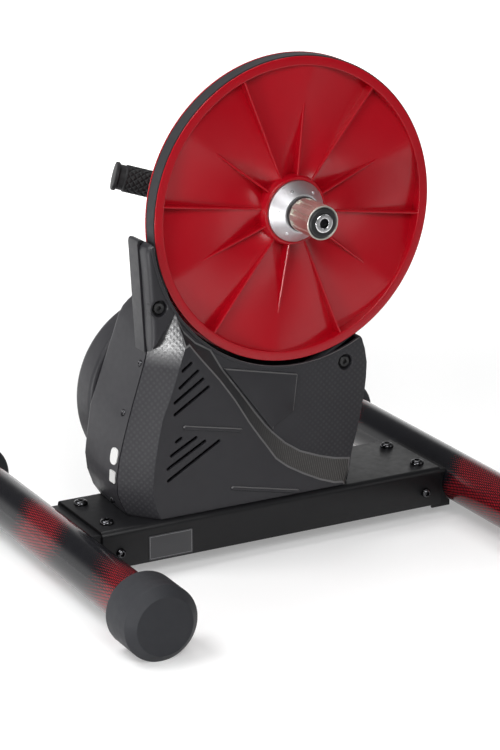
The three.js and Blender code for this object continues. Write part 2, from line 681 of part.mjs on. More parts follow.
addPiece('tensioner_pivot_bolt', turned([
  [0, tensioner.pivotFront], [tensioner.pivotHeadRadius, tensioner.pivotFront],
  [tensioner.pivotHeadRadius, tensioner.armFront - clearance],
  [tensioner.pinRadius, tensioner.armFront - clearance],
  [tensioner.pinRadius, tensioner.pivotBack], [0, tensioner.pivotBack],
], pivot, smallSides), colours.dark, finishes.metal);

// Upright frame
const webPoints = [
  [uprightWeb.footLeft, uprightWeb.footZ], [uprightWeb.footRight, uprightWeb.footZ],
  [uprightWeb.kneeRight, uprightWeb.kneeZ], [uprightWeb.headRight, uprightWeb.headZ],
  [uprightWeb.headLeft, uprightWeb.headZ], [uprightWeb.neckLeft, uprightWeb.neckZ],
  [uprightWeb.waistLeft, uprightWeb.waistZ], [uprightWeb.hipLeft, uprightWeb.hipZ],
];
const footBottom = beam.top + clearance;
const through = [upright.footFront - overshoot, upright.footBack + overshoot];
const sleeveRadius = axle.radius + clearance + clearance + shell.wall;
let frame = join(
  prism(webPoints, upright.front, upright.back),
  box(upright.footLeft, upright.footRight, upright.footFront, upright.footBack, footBottom, upright.footTop),
  rod(upright.wheelBossRadius, upright.front, upright.wheelBossBack, wheelAxis, midSides),
  rod(sleeveRadius, upright.wheelBossFront, upright.back, wheelAxis, midSides),
  rod(upright.flyBossRadius, upright.flyBossFront, upright.flyBossBack, flyAxis, midSides),
  rod(tensioner.uprightBossRadius, tensioner.armBack + clearance, upright.back, pivot, smallSides),
  rodAlong(handle.socketRadius, handle.socketStart, handle.socketEnd, handle.end, handle.along, midSides),
);
frame = cut(frame,
  rod(axle.radius + clearance, ...through, wheelAxis, midSides),
  rod(flyBearing.outer + clearance, ...through, flyAxis, midSides),
  rod(pinHole, tensioner.armBack - overshoot, tensioner.pivotBack + clearance, pivot, smallSides),
  rodAlong(handle.barRadius + clearance, 0, handle.barEnd + clearance, handle.end, handle.along, midSides),
  prism(capsule([upright.slotX, upright.slotLow], [wheelAxis.x, upright.slotHigh],
    upright.slotRadius, upright.slotRadius, smallSides / 2), ...through),
);
for (const [, x, y] of footBoltPlaces) {
  const hole = footBolt.shankRadius + clearance;
  frame = cut(frame, uprightRod(hole, beam.bottom, upright.footTop + overshoot, x, y, smallSides));
}
addPiece('upright_frame', frame, colours.casting, finishes.paint);

const footBoltBody = domedBolt(footBolt.headRadius, footBolt.headHeight, legBolt.dome, footBolt.shankRadius,
  upright.footTop - footBolt.shankEnd);
for (const [name, x, y] of footBoltPlaces) {
  addPiece(`upright_bolt_${name}`, footBoltBody, colours.zinc, finishes.metal,
    { x, y, z: upright.footTop + clearance });
}

// Handle
addPiece('handle_bar',
  rodAlong(handle.barRadius, handle.barStart, handle.barEnd, handle.end, handle.along, midSides),
  colours.steelBlack, finishes.paint);
const gripBore = handle.barRadius + clearance;
addPiece('handle_grip', turnedAlong([
  [0, 0], [handle.flangeRadius, 0], [handle.flangeRadius, handle.flangeLength],
  [handle.gripRadius - handle.grooveDepth, handle.flangeLength + handle.grooveDepth],
  [handle.gripRadius - handle.grooveDepth, handle.ringStart],
  [handle.gripRadius, handle.ringStart + handle.grooveDepth], [handle.gripRadius, handle.gripEnd],
  [gripBore, handle.gripEnd], [gripBore, handle.barStart - clearance], [0, handle.barStart - clearance],
], handle.end, handle.along, midSides), colours.dark, finishes.rubber);

// Fixed hollow axle and its two ends
addPiece('main_axle', ring(axle.bore, axle.radius, axle.front, axle.back, wheelAxis, midSides),
  colours.zinc, finishes.metal);
function endCapBody(face, axleEnd, overlap, side) {
  const socket = axle.radius + clearance;
  const stop = axleEnd + side * clearance;
  const inner = axleEnd - side * overlap;
  return turned([
    [axle.bore, face], [endCap.radius - endCap.chamfer, face], [endCap.radius, face - side * endCap.chamfer],
    [endCap.radius, inner], [socket, inner], [socket, stop], [axle.bore, stop],
  ], wheelAxis, midSides);
}
addPiece('drive_end_cap', endCapBody(endCap.front, axle.front, endCap.overlapFront, -1),
  colours.polished, finishes.polish);
addPiece('off_end_cap', endCapBody(endCap.back, axle.back, endCap.overlapBack, 1),
  colours.polished, finishes.polish);

// Large disc: rim with a belt seat, hub ring, pleated web and ribs
const seatFront = belt.front - clearance;
const seatBack = belt.back + clearance;
const rim = turned([
  [disc.rimInner, disc.rimFront], [disc.frontRadius, disc.rimFront], [disc.frontRadius, seatFront],
  [belt.bigSeat, seatFront], [belt.bigSeat, seatBack], [disc.lipRadius, seatBack],
  [disc.lipRadius, disc.rimBack], [disc.rimInner, disc.rimBack],
], wheelAxis, fineSides);
const pulleyBore = hub.radius + clearance;
const hubRing = turned([
  [flange.radius + clearance, disc.hubFront], [disc.hubRadius, disc.hubFront], [disc.hubRoot, disc.seat],
  [disc.hubRoot, disc.hubBack], [pulleyBore, disc.hubBack], [pulleyBore, disc.seat],
  [flange.radius + clearance, disc.seat],
], wheelAxis, midSides);

// Depth of the web: low under the long ribs at the rim, low under the short ribs at the hub
function webDepth(radiusShare, sectorShare) {
  const rise = (1 - sectorShare) * (1 - radiusShare) + sectorShare * radiusShare;
  return disc.webLow + (disc.webHigh - disc.webLow) * rise;
}
const webInner = disc.hubRoot - disc.webOverlap;
const webOuter = disc.rimInner + disc.webOverlap;

function pleatedWeb() {
  const around = 2 * disc.lobes * disc.sectorSteps;
  const rows = [];
  for (const layer of [0, 1]) {
    for (let i = 0; i <= disc.webRings; i++) {
      const radiusShare = i / disc.webRings;
      const radius = webInner + (webOuter - webInner) * radiusShare;
      const row = [];
      for (let j = 0; j < around; j++) {
        const step = j % (2 * disc.sectorSteps);
        const sectorShare = 1 - Math.abs(step / disc.sectorSteps - 1);
        const angle = fullTurn * (disc.firstRibTurn + j / around);
        row.push([
          wheelAxis.x + radius * Math.cos(angle),
          webDepth(radiusShare, sectorShare) + layer * disc.webSheet,
          wheelAxis.z + radius * Math.sin(angle),
        ]);
      }
      rows.push(row);
    }
  }
  const frontRows = rows.slice(0, disc.webRings + 1);
  const backRows = rows.slice(disc.webRings + 1).reverse();
  const loop = [...frontRows, ...backRows];
  const points = loop.flat(2);
  const triangles = [];
  for (let i = 0; i < loop.length; i++) {
    const next = (i + 1) % loop.length;
    for (let j = 0; j < around; j++) {
      const k = (j + 1) % around;
      const [a, b, c, d] = [i * around + j, i * around + k, next * around + k, next * around + j];
      triangles.push(a, b, c, a, c, d);
    }
  }
  const geometry = new THREE.BufferGeometry();
  geometry.setAttribute('position', new THREE.Float32BufferAttribute(points, 3));
  geometry.setIndex(triangles);
  return solid(geometry);
}

// A thin plate that stands on a radius of the disc. Its outline is a list of [radius, y].
function radialPlate(points, width, angle) {
  const geometry = new THREE.ExtrudeGeometry(shapeOf(points), { depth: width, bevelEnabled: false });
  geometry.translate(0, 0, -width / 2);
  const outward = new THREE.Vector3(Math.cos(angle), 0, Math.sin(angle));
  const back = new THREE.Vector3(0, 1, 0);
  geometry.applyMatrix4(new THREE.Matrix4().makeBasis(outward, back, outward.clone().cross(back)));
  geometry.translate(wheelAxis.x, 0, wheelAxis.z);
  return solid(geometry);
}
const ribRadius = (share) => webInner + (webOuter - webInner) * share;
const shortRibShare = (disc.shortRibEnd - webInner) / (webOuter - webInner);
const longRib = [
  [ribRadius(0), disc.ribHubFront], [ribRadius(1), disc.ribFront],
  [ribRadius(1), webDepth(1, 0) + disc.ribRoot], [ribRadius(0), webDepth(0, 0) + disc.ribRoot],
];
const shortRib = [
  [ribRadius(0), disc.shortRibFront], [disc.shortRibEnd, webDepth(shortRibShare, 1)],
  [disc.shortRibEnd, webDepth(shortRibShare, 1) + disc.ribRoot],
  [ribRadius(0), webDepth(0, 1) + disc.ribRoot],
];
let discBody = join(pleatedWeb(), rim, hubRing);
for (let i = 0; i < disc.lobes; i++) {
  const angle = fullTurn * (disc.firstRibTurn + i / disc.lobes);
  const halfSector = fullTurn / disc.lobes / 2;
  discBody = join(discBody,
    radialPlate(longRib, disc.ribWidth, angle),
    radialPlate(shortRib, disc.ribWidth, angle + halfSector));
}
addPiece('large_pulley', discBody, colours.red, finishes.paint);

// Hub flange with its body through the disc
addPiece('hub_flange', turned([
  [hub.bore, flange.coneFront], [flange.coneRadius, flange.coneFront],
  [flange.grooveRadius - flange.groove, flange.front - flange.radius + flange.grooveRadius - flange.groove],
  [flange.grooveRadius, flange.front - flange.groove], [flange.radius, flange.front],
  [flange.radius, disc.seat - clearance], [hub.radius, disc.seat - clearance],
  [hub.radius, hub.back], [hub.bore, hub.back],
], wheelAxis, midSides), colours.aluminium, finishes.metal);
const axleFit = axle.radius + clearance;
const bearingPlaces = [
  ['front', freehub.tail + hubBearing.frontGap],
  ['back', hub.back - hubBearing.inset - hubBearing.width],
];
for (const [name, start] of bearingPlaces) {
  const body = ring(axleFit, hub.bore - clearance, start, start + hubBearing.width, wheelAxis, midSides);
  addPiece(`hub_bearing_${name}`, body, colours.zinc, finishes.metal);
}

// Freehub: tail in the hub, splined body, dark foot ring, seal and bearing
const splineFront = freehub.front + freehub.rimLength;
const splineBack = freehub.foot - freehub.rimLength;
function splineTool(i) {
  const pitch = fullTurn / freehub.splines;
  const middle = pitch * i;
  const halfAngle = pitch * freehub.splineShare / 2;
  const outer = freehub.radius + overshoot;
  const inner = freehub.radius - freehub.splineDepth;
  const corner = (radius, angle) => [
    wheelAxis.x + radius * Math.cos(angle), wheelAxis.z + radius * Math.sin(angle),
  ];
  return prism([
    corner(inner, middle - halfAngle), corner(outer, middle - halfAngle),
    corner(outer, middle + halfAngle), corner(inner, middle + halfAngle),
  ], splineFront, splineBack);
}
let freehubBodySolid = turned([
  [freehub.bore, freehub.front], [freehub.radius, freehub.front], [freehub.radius, freehub.foot],
  [freehub.tailRadius, freehub.foot], [freehub.tailRadius, freehub.tail], [freehub.tailBore, freehub.tail],
  [freehub.tailBore, freehub.boreBack], [freehub.bore, freehub.boreBack],
], wheelAxis, midSides);
for (let i = 0; i < freehub.splines; i++) freehubBodySolid = cut(freehubBodySolid, splineTool(i));
addPiece('freehub_body', freehubBodySolid, colours.freehub, finishes.metal);
addPiece('freehub_foot_ring', turned([
  [freehub.tailRadius + clearance, footRing.front], [footRing.radius - footRing.chamfer, footRing.front],
  [footRing.radius, footRing.front + footRing.chamfer], [footRing.radius, footRing.back],
  [freehub.tailRadius + clearance, footRing.back],
], wheelAxis, midSides), colours.dark, finishes.matte);
const sealOuter = freehub.bore - clearance;
addPiece('freehub_seal', turned([
  [endCap.radius + clearance, seal.front], [sealOuter - seal.bevel, seal.front],
  [sealOuter, seal.front + seal.bevel], [sealOuter, seal.back], [endCap.radius + clearance, seal.back],
], wheelAxis, midSides), colours.dark, finishes.rubber);
addPiece('freehub_bearing',
  ring(axleFit, sealOuter, freehubBearing.front, freehubBearing.back, wheelAxis, midSides),
  colours.zinc, finishes.metal);

// Flywheel group
addPiece('flywheel', turned([
  [flyShaft.radius + clearance, flywheel.hubFront], [flywheel.hubRadius, flywheel.hubFront],
  [flywheel.hubRadius, flywheel.front], [flywheel.radius - flywheel.chamfer, flywheel.front],
  [flywheel.radius, flywheel.front + flywheel.chamfer], [flywheel.radius, flywheel.back - flywheel.chamfer],
  [flywheel.radius - flywheel.chamfer, flywheel.back], [flywheel.rimInner, flywheel.back],
  [flywheel.rimInner, flywheel.front + flywheel.web], [flywheel.hubRadius, flywheel.front + flywheel.web],
  [flywheel.hubRadius, flywheel.hubBack], [flyShaft.radius + clearance, flywheel.hubBack],
], flyAxis, coverSides), colours.zinc, finishes.metal);
addPiece('flywheel_shaft', turned([
  [0, flyShaft.front], [flyShaft.radius - flyShaft.chamfer, flyShaft.front],
  [flyShaft.radius, flyShaft.front + flyShaft.chamfer], [flyShaft.radius, flyShaft.back - flyShaft.chamfer],
  [flyShaft.radius - flyShaft.chamfer, flyShaft.back], [0, flyShaft.back],
], flyAxis, midSides), colours.zinc, finishes.metal);
const shaftFit = flyShaft.radius + clearance;
addPiece('small_pulley', turned([
  [shaftFit, seatFront - smallPulley.flange], [smallPulley.flangeRadius, seatFront - smallPulley.flange],
  [smallPulley.flangeRadius, seatFront], [belt.smallSeat, seatFront], [belt.smallSeat, seatBack],
  [smallPulley.flangeRadius, seatBack], [smallPulley.flangeRadius, seatBack + smallPulley.flange],
  [shaftFit, seatBack + smallPulley.flange],
], flyAxis, midSides), colours.zinc, finishes.metal);
const shaftBearings = [
  ['front', upright.flyBossFront + flyBearing.inset],
  ['back', upright.flyBossBack - flyBearing.inset - flyBearing.width],
];
for (const [name, start] of shaftBearings) {
  addPiece(`shaft_bearing_${name}`,
    ring(shaftFit, flyBearing.outer, start, start + flyBearing.width, flyAxis, midSides),
    colours.zinc, finishes.metal);
}

// Brake: a fixed core with three poles and a coil on each
const coreBack = flywheelCover.back - flywheelCover.wall - clearance;
function poleBox(start, end, width, y0, y1, i) {
  const geometry = new THREE.BoxGeometry(end - start, y1 - y0, width);
  geometry.translate((start + end) / 2, (y0 + y1) / 2, 0);
  geometry.rotateY(-fullTurn * (brake.firstPoleTurn + i / brake.poles));
  geometry.translate(flyAxis.x, 0, flyAxis.z);
  return solid(geometry);
}
let core = ring(brake.ringInner, brake.ringOuter, brake.front, coreBack, flyAxis, midSides);
const poleRoot = (brake.ringInner + brake.ringOuter) / 2;
for (let i = 0; i < brake.poles; i++) {
  core = join(core,
    poleBox(poleRoot, brake.poleEnd, brake.poleWidth, brake.poleFront, brake.poleBack, i),
    poleBox(brake.shoeStart, brake.poleEnd, brake.shoeWidth, brake.poleFront, brake.poleBack, i));
  const coilInner = brake.poleWidth + 2 * clearance;
  const coilOuter = coilInner + 2 * brake.coilWall;
  const coil = cut(
    poleBox(brake.coilStart, brake.coilEnd, coilOuter,
      brake.poleFront - clearance - brake.coilWall, brake.poleBack + clearance + brake.coilWall, i),
    poleBox(brake.coilStart - overshoot, brake.coilEnd + overshoot, coilInner,
      brake.poleFront - clearance, brake.poleBack + clearance, i));
  addPiece(`brake_coil_${i + 1}`, coil, colours.copper, finishes.metal);
}
addPiece('brake_core', core, colours.zinc, finishes.metal);

// Flywheel cover: a shallow cup against the back of the rear shell
const coverFront = rearShell.back + clearance;
addPiece('flywheel_cover', turned([
  [0, flywheelCover.back], [flywheelCover.radius - flywheelCover.chamfer, flywheelCover.back],
  [flywheelCover.radius, flywheelCover.back - flywheelCover.chamfer], [flywheelCover.radius, coverFront],
  [flywheelCover.radius - flywheelCover.wall, coverFront],
  [flywheelCover.radius - flywheelCover.wall, flywheelCover.back - flywheelCover.chamfer],
  [flywheelCover.radius - flywheelCover.wall - flywheelCover.chamfer,
    flywheelCover.back - flywheelCover.wall],
  [0, flywheelCover.back - flywheelCover.wall],
], flyAxis, coverSides), colours.graphite, finishes.matte);

// Front shell: the fin and upper panel on one plane, a proud lower panel, and a facet on the left
const seamSide = facetSideShares.map(([seamPoint]) => fromShares(seamPoint));
const panelSide = facetSideShares.map(([, panelPoint]) => fromShares(panelPoint));
const finWall = finWallShares.map(fromShares);
const facetSeam = fromShares(facetSeamShare);
const facetWall = fromShares(facetWallShare);
const facetApex = fromShares(facetApexShare);
const panelPeak = fromShares(panelPeakShare);
const facetFoot = between(facetSeam, panelPeak, shell.facetShare);
const rightSide = rightSideShares.map(fromShares);
const closing = closingShares.map(fromShares);
const middleSide = seamSide.map((point, i) => between(point, panelSide[i], shell.facetShare));
const seamOutline = [...finWall, facetSeam, facetSeam, facetSeam, ...seamSide, ...rightSide, ...closing];
const finOutline = [...finWall, facetWall, facetApex, facetFoot, ...middleSide, ...rightSide, ...closing];
const bandUpper = bandShares.map(([upper]) => fromShares(upper)).reverse();
const bandLower = bandShares.map(([, lower]) => fromShares(lower)).reverse();
const blockBase = [facetFoot, ...middleSide, ...bandUpper, facetApex];
const blockTop = [panelPeak, ...panelSide, ...bandLower, panelPeak];

// The whole outside of the front shell, moved back by a distance
function frontSolid(moved) {
  return join(
    loft(finOutline, shell.fin + moved, seamOutline, shell.seam + moved),
    loft(blockTop, shell.panel + moved, blockBase, shell.fin + moved),
  );
}
const discSpace = (y0, y1) => rod(shell.collarRadius, y0, y1, wheelAxis, fineSides);
const outside = shell.panel - overshoot;
const inside = shell.seam + overshoot;
const slab = (points, y0, y1) => prism(points, y0, y1);
const hollow = frontSolid(shell.wall).intersect(slab(inset(seamOutline, shell.wall), outside, inside));
let front = cut(frontSolid(0), hollow);

// Raised features: collar lip, inset panel and ridges
const lipRing = ring(shell.collarRadius, shell.collarRadius + shell.lipWidth,
  shell.fin - shell.lipRise, shell.fin + shell.wall, wheelAxis, fineSides);
const lipLimit = slab(finOutline, outside, shell.fin + shell.wall);
front = join(front, lipRing.intersect(lipLimit));
const insetOutline = insetPanelShares.map(fromShares);
front = join(front, slab(insetOutline, shell.fin - insetPanel.rise, shell.fin + shell.wall / 2));
for (const [from, to] of ridgeShares) {
  const outline = capsule(fromShares(from), fromShares(to), ridge.width / 2, ridge.width / 2, foldSteps);
  front = join(front, slab(outline, shell.panel - ridge.rise, shell.panel + shell.wall / 2));
}
const pockets = pocketPlaces.map(({ name, widthShare, reach }) => {
  const x = shell.left + widthShare * shell.width;
  const drop = Math.sqrt((shell.collarRadius + reach) ** 2 - (x - wheelAxis.x) ** 2);
  return { name, x, z: wheelAxis.z - drop };
});
const pocketBack = pocket.floor + pocket.floorSheet;
for (const centre of pockets) {
  front = join(front, rod(pocket.radius + pocket.wall, shell.fin, pocketBack, centre, midSides));
}
front = cut(front, discSpace(outside, inside));
for (const centre of pockets) {
  front = cut(front,
    rod(pocket.radius, outside, pocket.floor, centre, midSides),
    rod(pocket.hole, outside, inside, centre, smallSides));
}
for (const [from, to] of ventShares) {
  const outline = capsule(fromShares(from), fromShares(to), vent.width / 2, vent.width / 2, foldSteps);
  front = cut(front, slab(outline, outside, shell.panel + 2 * shell.wall));
}
addPiece('front_shell', front, colours.graphite, finishes.matte);

const boltSeat = pocket.floor - clearance;
for (const centre of pockets) {
  addPiece(`shell_bolt_${centre.name}`, turned([
    [0, shellBolt.front], [shellBolt.headRadius - legBolt.dome, shellBolt.front],
    [shellBolt.headRadius, shellBolt.front + legBolt.dome], [shellBolt.headRadius, boltSeat],
    [shellBolt.shankRadius, boltSeat], [shellBolt.shankRadius, shellBolt.end], [0, shellBolt.end],
  ], centre, smallSides), colours.dark, finishes.metal);
}

// Rear shell: a tub behind the seam, a taller fin, and a plate behind the disc
const rearSeam = shell.seam + shell.seamGap;
const draft = ([x, z]) => [x + shell.rightDraft, z];
const rearRight = rightSide.map(draft);
const rearTop = rearTopShares.map(fromShares);
const rearNear = [...rearLeftShares.map(([near]) => fromShares(near)), ...rearRight, ...rearTop];
const rearFar = [...rearLeftShares.map(([, far]) => fromShares(far)), ...rearRight, ...rearTop];
const rearFin = rearFinShares.map(fromShares);
const wall = shell.wall;
let rear = join(
  loft(rearNear, rearSeam, rearFar, rearShell.back),
  slab(rearFin, rearSeam, rearShell.finBack),
);
const plate = rod(rearShell.plateRadius, rearShell.plateFront,
  rearShell.plateFront + rearShell.plateSheet, wheelAxis, fineSides);
const tubHollow = loft(
  inset(rearNear, wall), rearSeam - overshoot, inset(rearFar, wall), rearShell.back - wall);
const finHollow = slab(inset(rearFin, wall), rearSeam - overshoot, rearShell.finBack - wall);
const beltSpace = slab(
  beltLoop(belt.thickness + rearShell.beltGap), rearSeam - overshoot, rearShell.plateFront);
rear = cut(rear,
  cut(join(tubHollow, finHollow), plate),
  discSpace(rearSeam - overshoot, rearShell.plateFront),
  beltSpace);
const bossEnds = [rearShell.finBack - wall / 2, rearShell.back - wall / 2];
pockets.forEach((centre, i) => {
  rear = join(rear, rod(shellBoss.radius, shellBoss.front, bossEnds[i], centre, smallSides));
  rear = cut(rear, rod(pocket.hole, shellBoss.front - overshoot, shellBoss.holeBack, centre, smallSides));
});
const postPlaces = [
  { x: controlBoard.left + controlBoard.postInset, z: controlBoard.bottom + controlBoard.postInset },
  { x: controlBoard.right - controlBoard.postInset, z: controlBoard.top - controlBoard.postInset },
];
const boardBack = rearShell.back - wall - controlBoard.standOff;
for (const place of postPlaces) {
  const postFoot = rearShell.back - wall / 2;
  rear = join(rear, rod(controlBoard.post, boardBack + clearance, postFoot, place, smallSides));
}
const [seatLeft, seatRight] = [upright.footLeft - rearShell.footGap, upright.footRight + rearShell.footGap];
const uprightLeft = uprightWeb.neckLeft - rearShell.uprightGap;
const uprightRight = uprightWeb.headRight + rearShell.uprightGap + rearShell.uprightGap;
const tubTop = fromShares(rearTopShares[2])[1];
rear = cut(rear,
  rod(rearShell.shaftHole, rearShell.finBack, rearShell.back + overshoot, flyAxis, midSides),
  box(seatLeft, seatRight, upright.footFront - rearShell.footGap, upright.footBack + rearShell.footGap,
    shell.bottom - overshoot, shell.bottom + wall + overshoot),
  box(uprightLeft, uprightRight, upright.front - rearShell.uprightGap, upright.back + rearShell.uprightGap,
    tubTop - wall - overshoot, tubTop + overshoot),
  rod(powerInlet.radius + clearance, rearShell.back - wall - overshoot, rearShell.back + overshoot,
    powerInlet, midSides),
);

// Plates set in the rear shell's left side, with a gap all round
function sidePlate(plateSize, shares, grow, outward) {
  const [topX, top] = fromShares(shares.top);
  const [bottomX, bottom] = fromShares(shares.bottom);
  const inward = plateSize.depth + outward;
  return slab([
    [topX - outward, top + grow], [bottomX - outward, bottom - grow],
    [bottomX + inward, bottom - grow], [topX + inward, top + grow],
  ], plateSize.front - grow, plateSize.back + grow);
}
rear = cut(rear,
  sidePlate(statusWindow, statusWindowShares, clearance, overshoot),
  sidePlate(portCover, portCoverShares, clearance, overshoot));
const screwAxis = { x: 1, y: 0, z: 0 };
for (const [name, share] of Object.entries(sideScrewShares)) {
  const [x, z] = fromShares(share);
  const place = { x, y: sideScrewY[name], z };
  const hole = sideScrew.headRadius + clearance;
  rear = cut(rear, rodAlong(
    hole, -sideScrew.headLength, 2 * sideScrew.headLength, place, screwAxis, smallSides));
  const start = -sideScrew.proud;
  const headEnd = start + sideScrew.headLength;
  addPiece(`side_screw_${name}`, turnedAlong([
    [0, start], [sideScrew.headRadius, start], [sideScrew.headRadius, headEnd],
    [sideScrew.shankRadius, headEnd], [sideScrew.shankRadius, start + sideScrew.length],
    [0, start + sideScrew.length],
  ], place, screwAxis, smallSides), colours.dark, finishes.metal);
}
addPiece('rear_shell', rear, colours.graphite, finishes.matte);
addPiece('status_window', sidePlate(statusWindow, statusWindowShares, 0, 0), colours.white, finishes.gloss);
addPiece('port_cover', sidePlate(portCover, portCoverShares, 0, 0), colours.white, finishes.matte);

// Electrics inside the rear shell
addPiece('control_board', box(
  controlBoard.left, controlBoard.right, boardBack - controlBoard.sheet, boardBack,
  controlBoard.bottom, controlBoard.top,
), colours.board, finishes.matte);
const inletBack = rearShell.back + powerInlet.proud;
addPiece('power_inlet', cut(
  rod(powerInlet.radius, inletBack - powerInlet.length, inletBack, powerInlet, midSides),
  rod(powerInlet.bore, inletBack - powerInlet.boreDepth, inletBack + overshoot, powerInlet, smallSides),
), colours.dark, finishes.matte);

export default trainer;
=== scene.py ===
"""A direct drive bike trainer on a pale floor. Shapes are in millimetres, and mm() turns them to metres."""
import math
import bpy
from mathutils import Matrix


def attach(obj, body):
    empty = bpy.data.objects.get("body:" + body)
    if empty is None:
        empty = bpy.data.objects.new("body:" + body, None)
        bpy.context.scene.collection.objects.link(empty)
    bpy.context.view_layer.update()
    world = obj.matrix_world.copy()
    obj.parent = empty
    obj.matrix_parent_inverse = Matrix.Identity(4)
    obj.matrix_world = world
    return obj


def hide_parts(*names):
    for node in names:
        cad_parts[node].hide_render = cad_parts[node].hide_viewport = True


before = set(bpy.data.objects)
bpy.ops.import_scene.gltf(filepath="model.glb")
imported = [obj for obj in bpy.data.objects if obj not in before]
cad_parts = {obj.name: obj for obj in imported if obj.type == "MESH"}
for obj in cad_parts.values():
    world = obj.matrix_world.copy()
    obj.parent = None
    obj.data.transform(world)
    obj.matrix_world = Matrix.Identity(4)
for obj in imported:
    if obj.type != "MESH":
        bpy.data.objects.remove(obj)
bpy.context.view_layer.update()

from types import SimpleNamespace as Sizes

import bmesh
import bpy
from mathutils import Matrix, Vector

MM = 0.001
TURN = 2 * math.pi
scene = bpy.context.scene
scene.view_settings.view_transform = "Standard"


def mm(x, y, z):
    return Vector((x, y, z)) * MM


def add_object(name, data):
    obj = bpy.data.objects.new(name, data)
    scene.collection.objects.link(obj)
    return obj


# Camera
CAMERA = Sizes(place=(-1154.1, -2171.9, 958.4), yaw=math.radians(-27.949), pitch=math.radians(17.801),
               roll=math.radians(-0.391), focal_pixels=2610.37, picture_height=750, sensor=36, reach=50)


def add_camera():
    sine, cosine = math.sin(CAMERA.yaw), math.cos(CAMERA.yaw)
    flat = math.cos(CAMERA.pitch)
    look = Vector((-sine * flat, cosine * flat, -math.sin(CAMERA.pitch)))
    level = Vector((cosine, sine, 0))
    above = level.cross(look)
    right = level * math.cos(CAMERA.roll) + above * math.sin(CAMERA.roll)
    up = above * math.cos(CAMERA.roll) - level * math.sin(CAMERA.roll)
    data = bpy.data.cameras.new("camera")
    data.sensor_width = CAMERA.sensor
    data.lens = CAMERA.focal_pixels / CAMERA.picture_height * CAMERA.sensor
    data.clip_end = CAMERA.reach
    camera = add_object("camera", data)
    matrix = Matrix((right, up, -look)).transposed().to_4x4()
    matrix.translation = mm(*CAMERA.place)
    camera.matrix_world = matrix
    scene.camera = camera


add_camera()

# Shared values of the part
CLEAR = 0.3
OVER = 2
WHEEL = (30, 340)
FLY = (-52.5, 142.3)
STAND, DISC, HUB = "stand", "disc_group", "freehub"
ENDS = (("rear", -1), ("front", 1))
SIDES = (("drive", -1), ("off", 1))
ROUND = 128


# Node trees
class Nodes:
    """Short calls for a node tree. An input is a number, a colour or another node's output."""

    def __init__(self, tree):
        self.tree = tree

    def add(self, kind, inputs=None, **settings):
        node = self.tree.nodes.new("ShaderNode" + kind)
        for key, value in settings.items():
            setattr(node, key, value)
        for key, value in (inputs or {}).items():
            if isinstance(value, bpy.types.NodeSocket):
                self.tree.links.new(value, node.inputs[key])
            else:
                node.inputs[key].default_value = value
        return node.outputs

    def axes(self, place):
        return self.add("SeparateXYZ", {0: place})

    def math(self, operation, first, second=0.0):
        return self.add("Math", {0: first, 1: second}, operation=operation)[0]

    def times(self, first, second):
        return self.math("MULTIPLY", first, second)

    def plus(self, first, second):
        return self.math("ADD", first, second)

    def minus(self, first, second):
        return self.math("SUBTRACT", first, second)

    def away(self, value, middle):
        """How far a value is from a middle, on either side."""
        return self.math("ABSOLUTE", self.minus(value, middle))

    def span(self, value, low, high, from_low=0.3, from_high=0.7, kind="LINEAR"):
        return self.add("MapRange", {
            "Value": value, "From Min": from_low, "From Max": from_high, "To Min": low, "To Max": high,
        }, interpolation_type=kind)["Result"]

    def ease(self, value, low, high, from_low=0, from_high=1):
        return self.span(value, low, high, from_low, from_high, "SMOOTHSTEP")


class Finish(Nodes):
    """A node material with a noise-mottled colour, uneven roughness and a fine bump."""

    def __init__(self, name, light, dark, roughness, metallic=0.0, scale=60):
        self.material = bpy.data.materials.new(name)
        self.material.use_nodes = True
        super().__init__(self.material.node_tree)
        self.shader = self.tree.nodes["Principled BSDF"]
        self.shader.inputs["Metallic"].default_value = metallic
        self.place = self.add("TexCoord")["Object"]
        self.height = None
        self.colour = self.mix(self.noise(scale), light, dark)
        self.spread = self.span(self.noise(scale * 2.3, 4), *roughness)

    def noise(self, scale, detail=3):
        return self.add("TexNoise", {"Scale": scale, "Detail": detail, "Vector": self.place})["Fac"]

    def sine(self, value, pitch):
        """A wave along a distance in metres, with its pitch in millimetres."""
        return self.math("SINE", self.times(value, TURN / (pitch * MM)))

    def mix(self, share, first, second):
        first, second = ((*value, 1) if isinstance(value, tuple) else value for value in (first, second))
        return self.add("Mix", {"Factor": share, "A": first, "B": second}, data_type="RGBA")["Result"]

    def bump(self, value, distance):
        inputs = {"Distance": distance * MM, "Strength": 1, "Height": value}
        if self.height:
            inputs["Normal"] = self.height
        self.height = self.add("Bump", inputs)["Normal"]

    def feed(self, source, key):
        self.tree.links.new(source, self.shader.inputs[key])

    def done(self, shine=0.5):
        self.feed(self.colour, "Base Color")
        self.feed(self.spread, "Roughness")
        self.feed(self.height, "Normal")
        self.shader.inputs["Specular IOR Level"].default_value = shine
        return self.material


# Materials
GRAPHITE = (0.024, 0.0235, 0.027)
GRAPHITE_DARK = (0.019, 0.0185, 0.022)
WEAVE = Sizes(pitch=6.4, share=0.55, light=(0.045, 0.045, 0.048), rise=0.1, dull=0.24, top_shine=1.0)
# The band's ribs. Low and high are the pale colours of a painted sheen on them, and dark and darker are the
# base colours, darkened as painted shade.
BAND_RIBS_AND_SHEEN = Sizes(pitch=2.6, start=-35, full=15, rise=0.12, low=(0.03, 0.028, 0.027),
                   high=(0.072, 0.069, 0.066), dark=(0.012, 0.0118, 0.0135), darker=(0.009, 0.0088, 0.0105))
PLATE = Sizes(left=-141.7, right=-94.5, bottom=17.5, top=42.5, sheet=0.5, corner=1.5, border=1.2, line=0.35,
              line_colour=(0.3, 0.3, 0.31))
PRINT = Sizes(columns=50, pitch=2.6, slant=9.0, waves=3, sway=9, narrow=0.7, size=0.33,
              red=(0.34, 0.008, 0.014))


def plain(name, light, dark, roughness, metallic=0.0, grain=0.05, grain_scale=900, scale=60, shine=0.5):
    finish = Finish(name, light, dark, roughness, metallic, scale)
    finish.bump(finish.noise(grain_scale, 2), grain)
    return finish.done(shine)


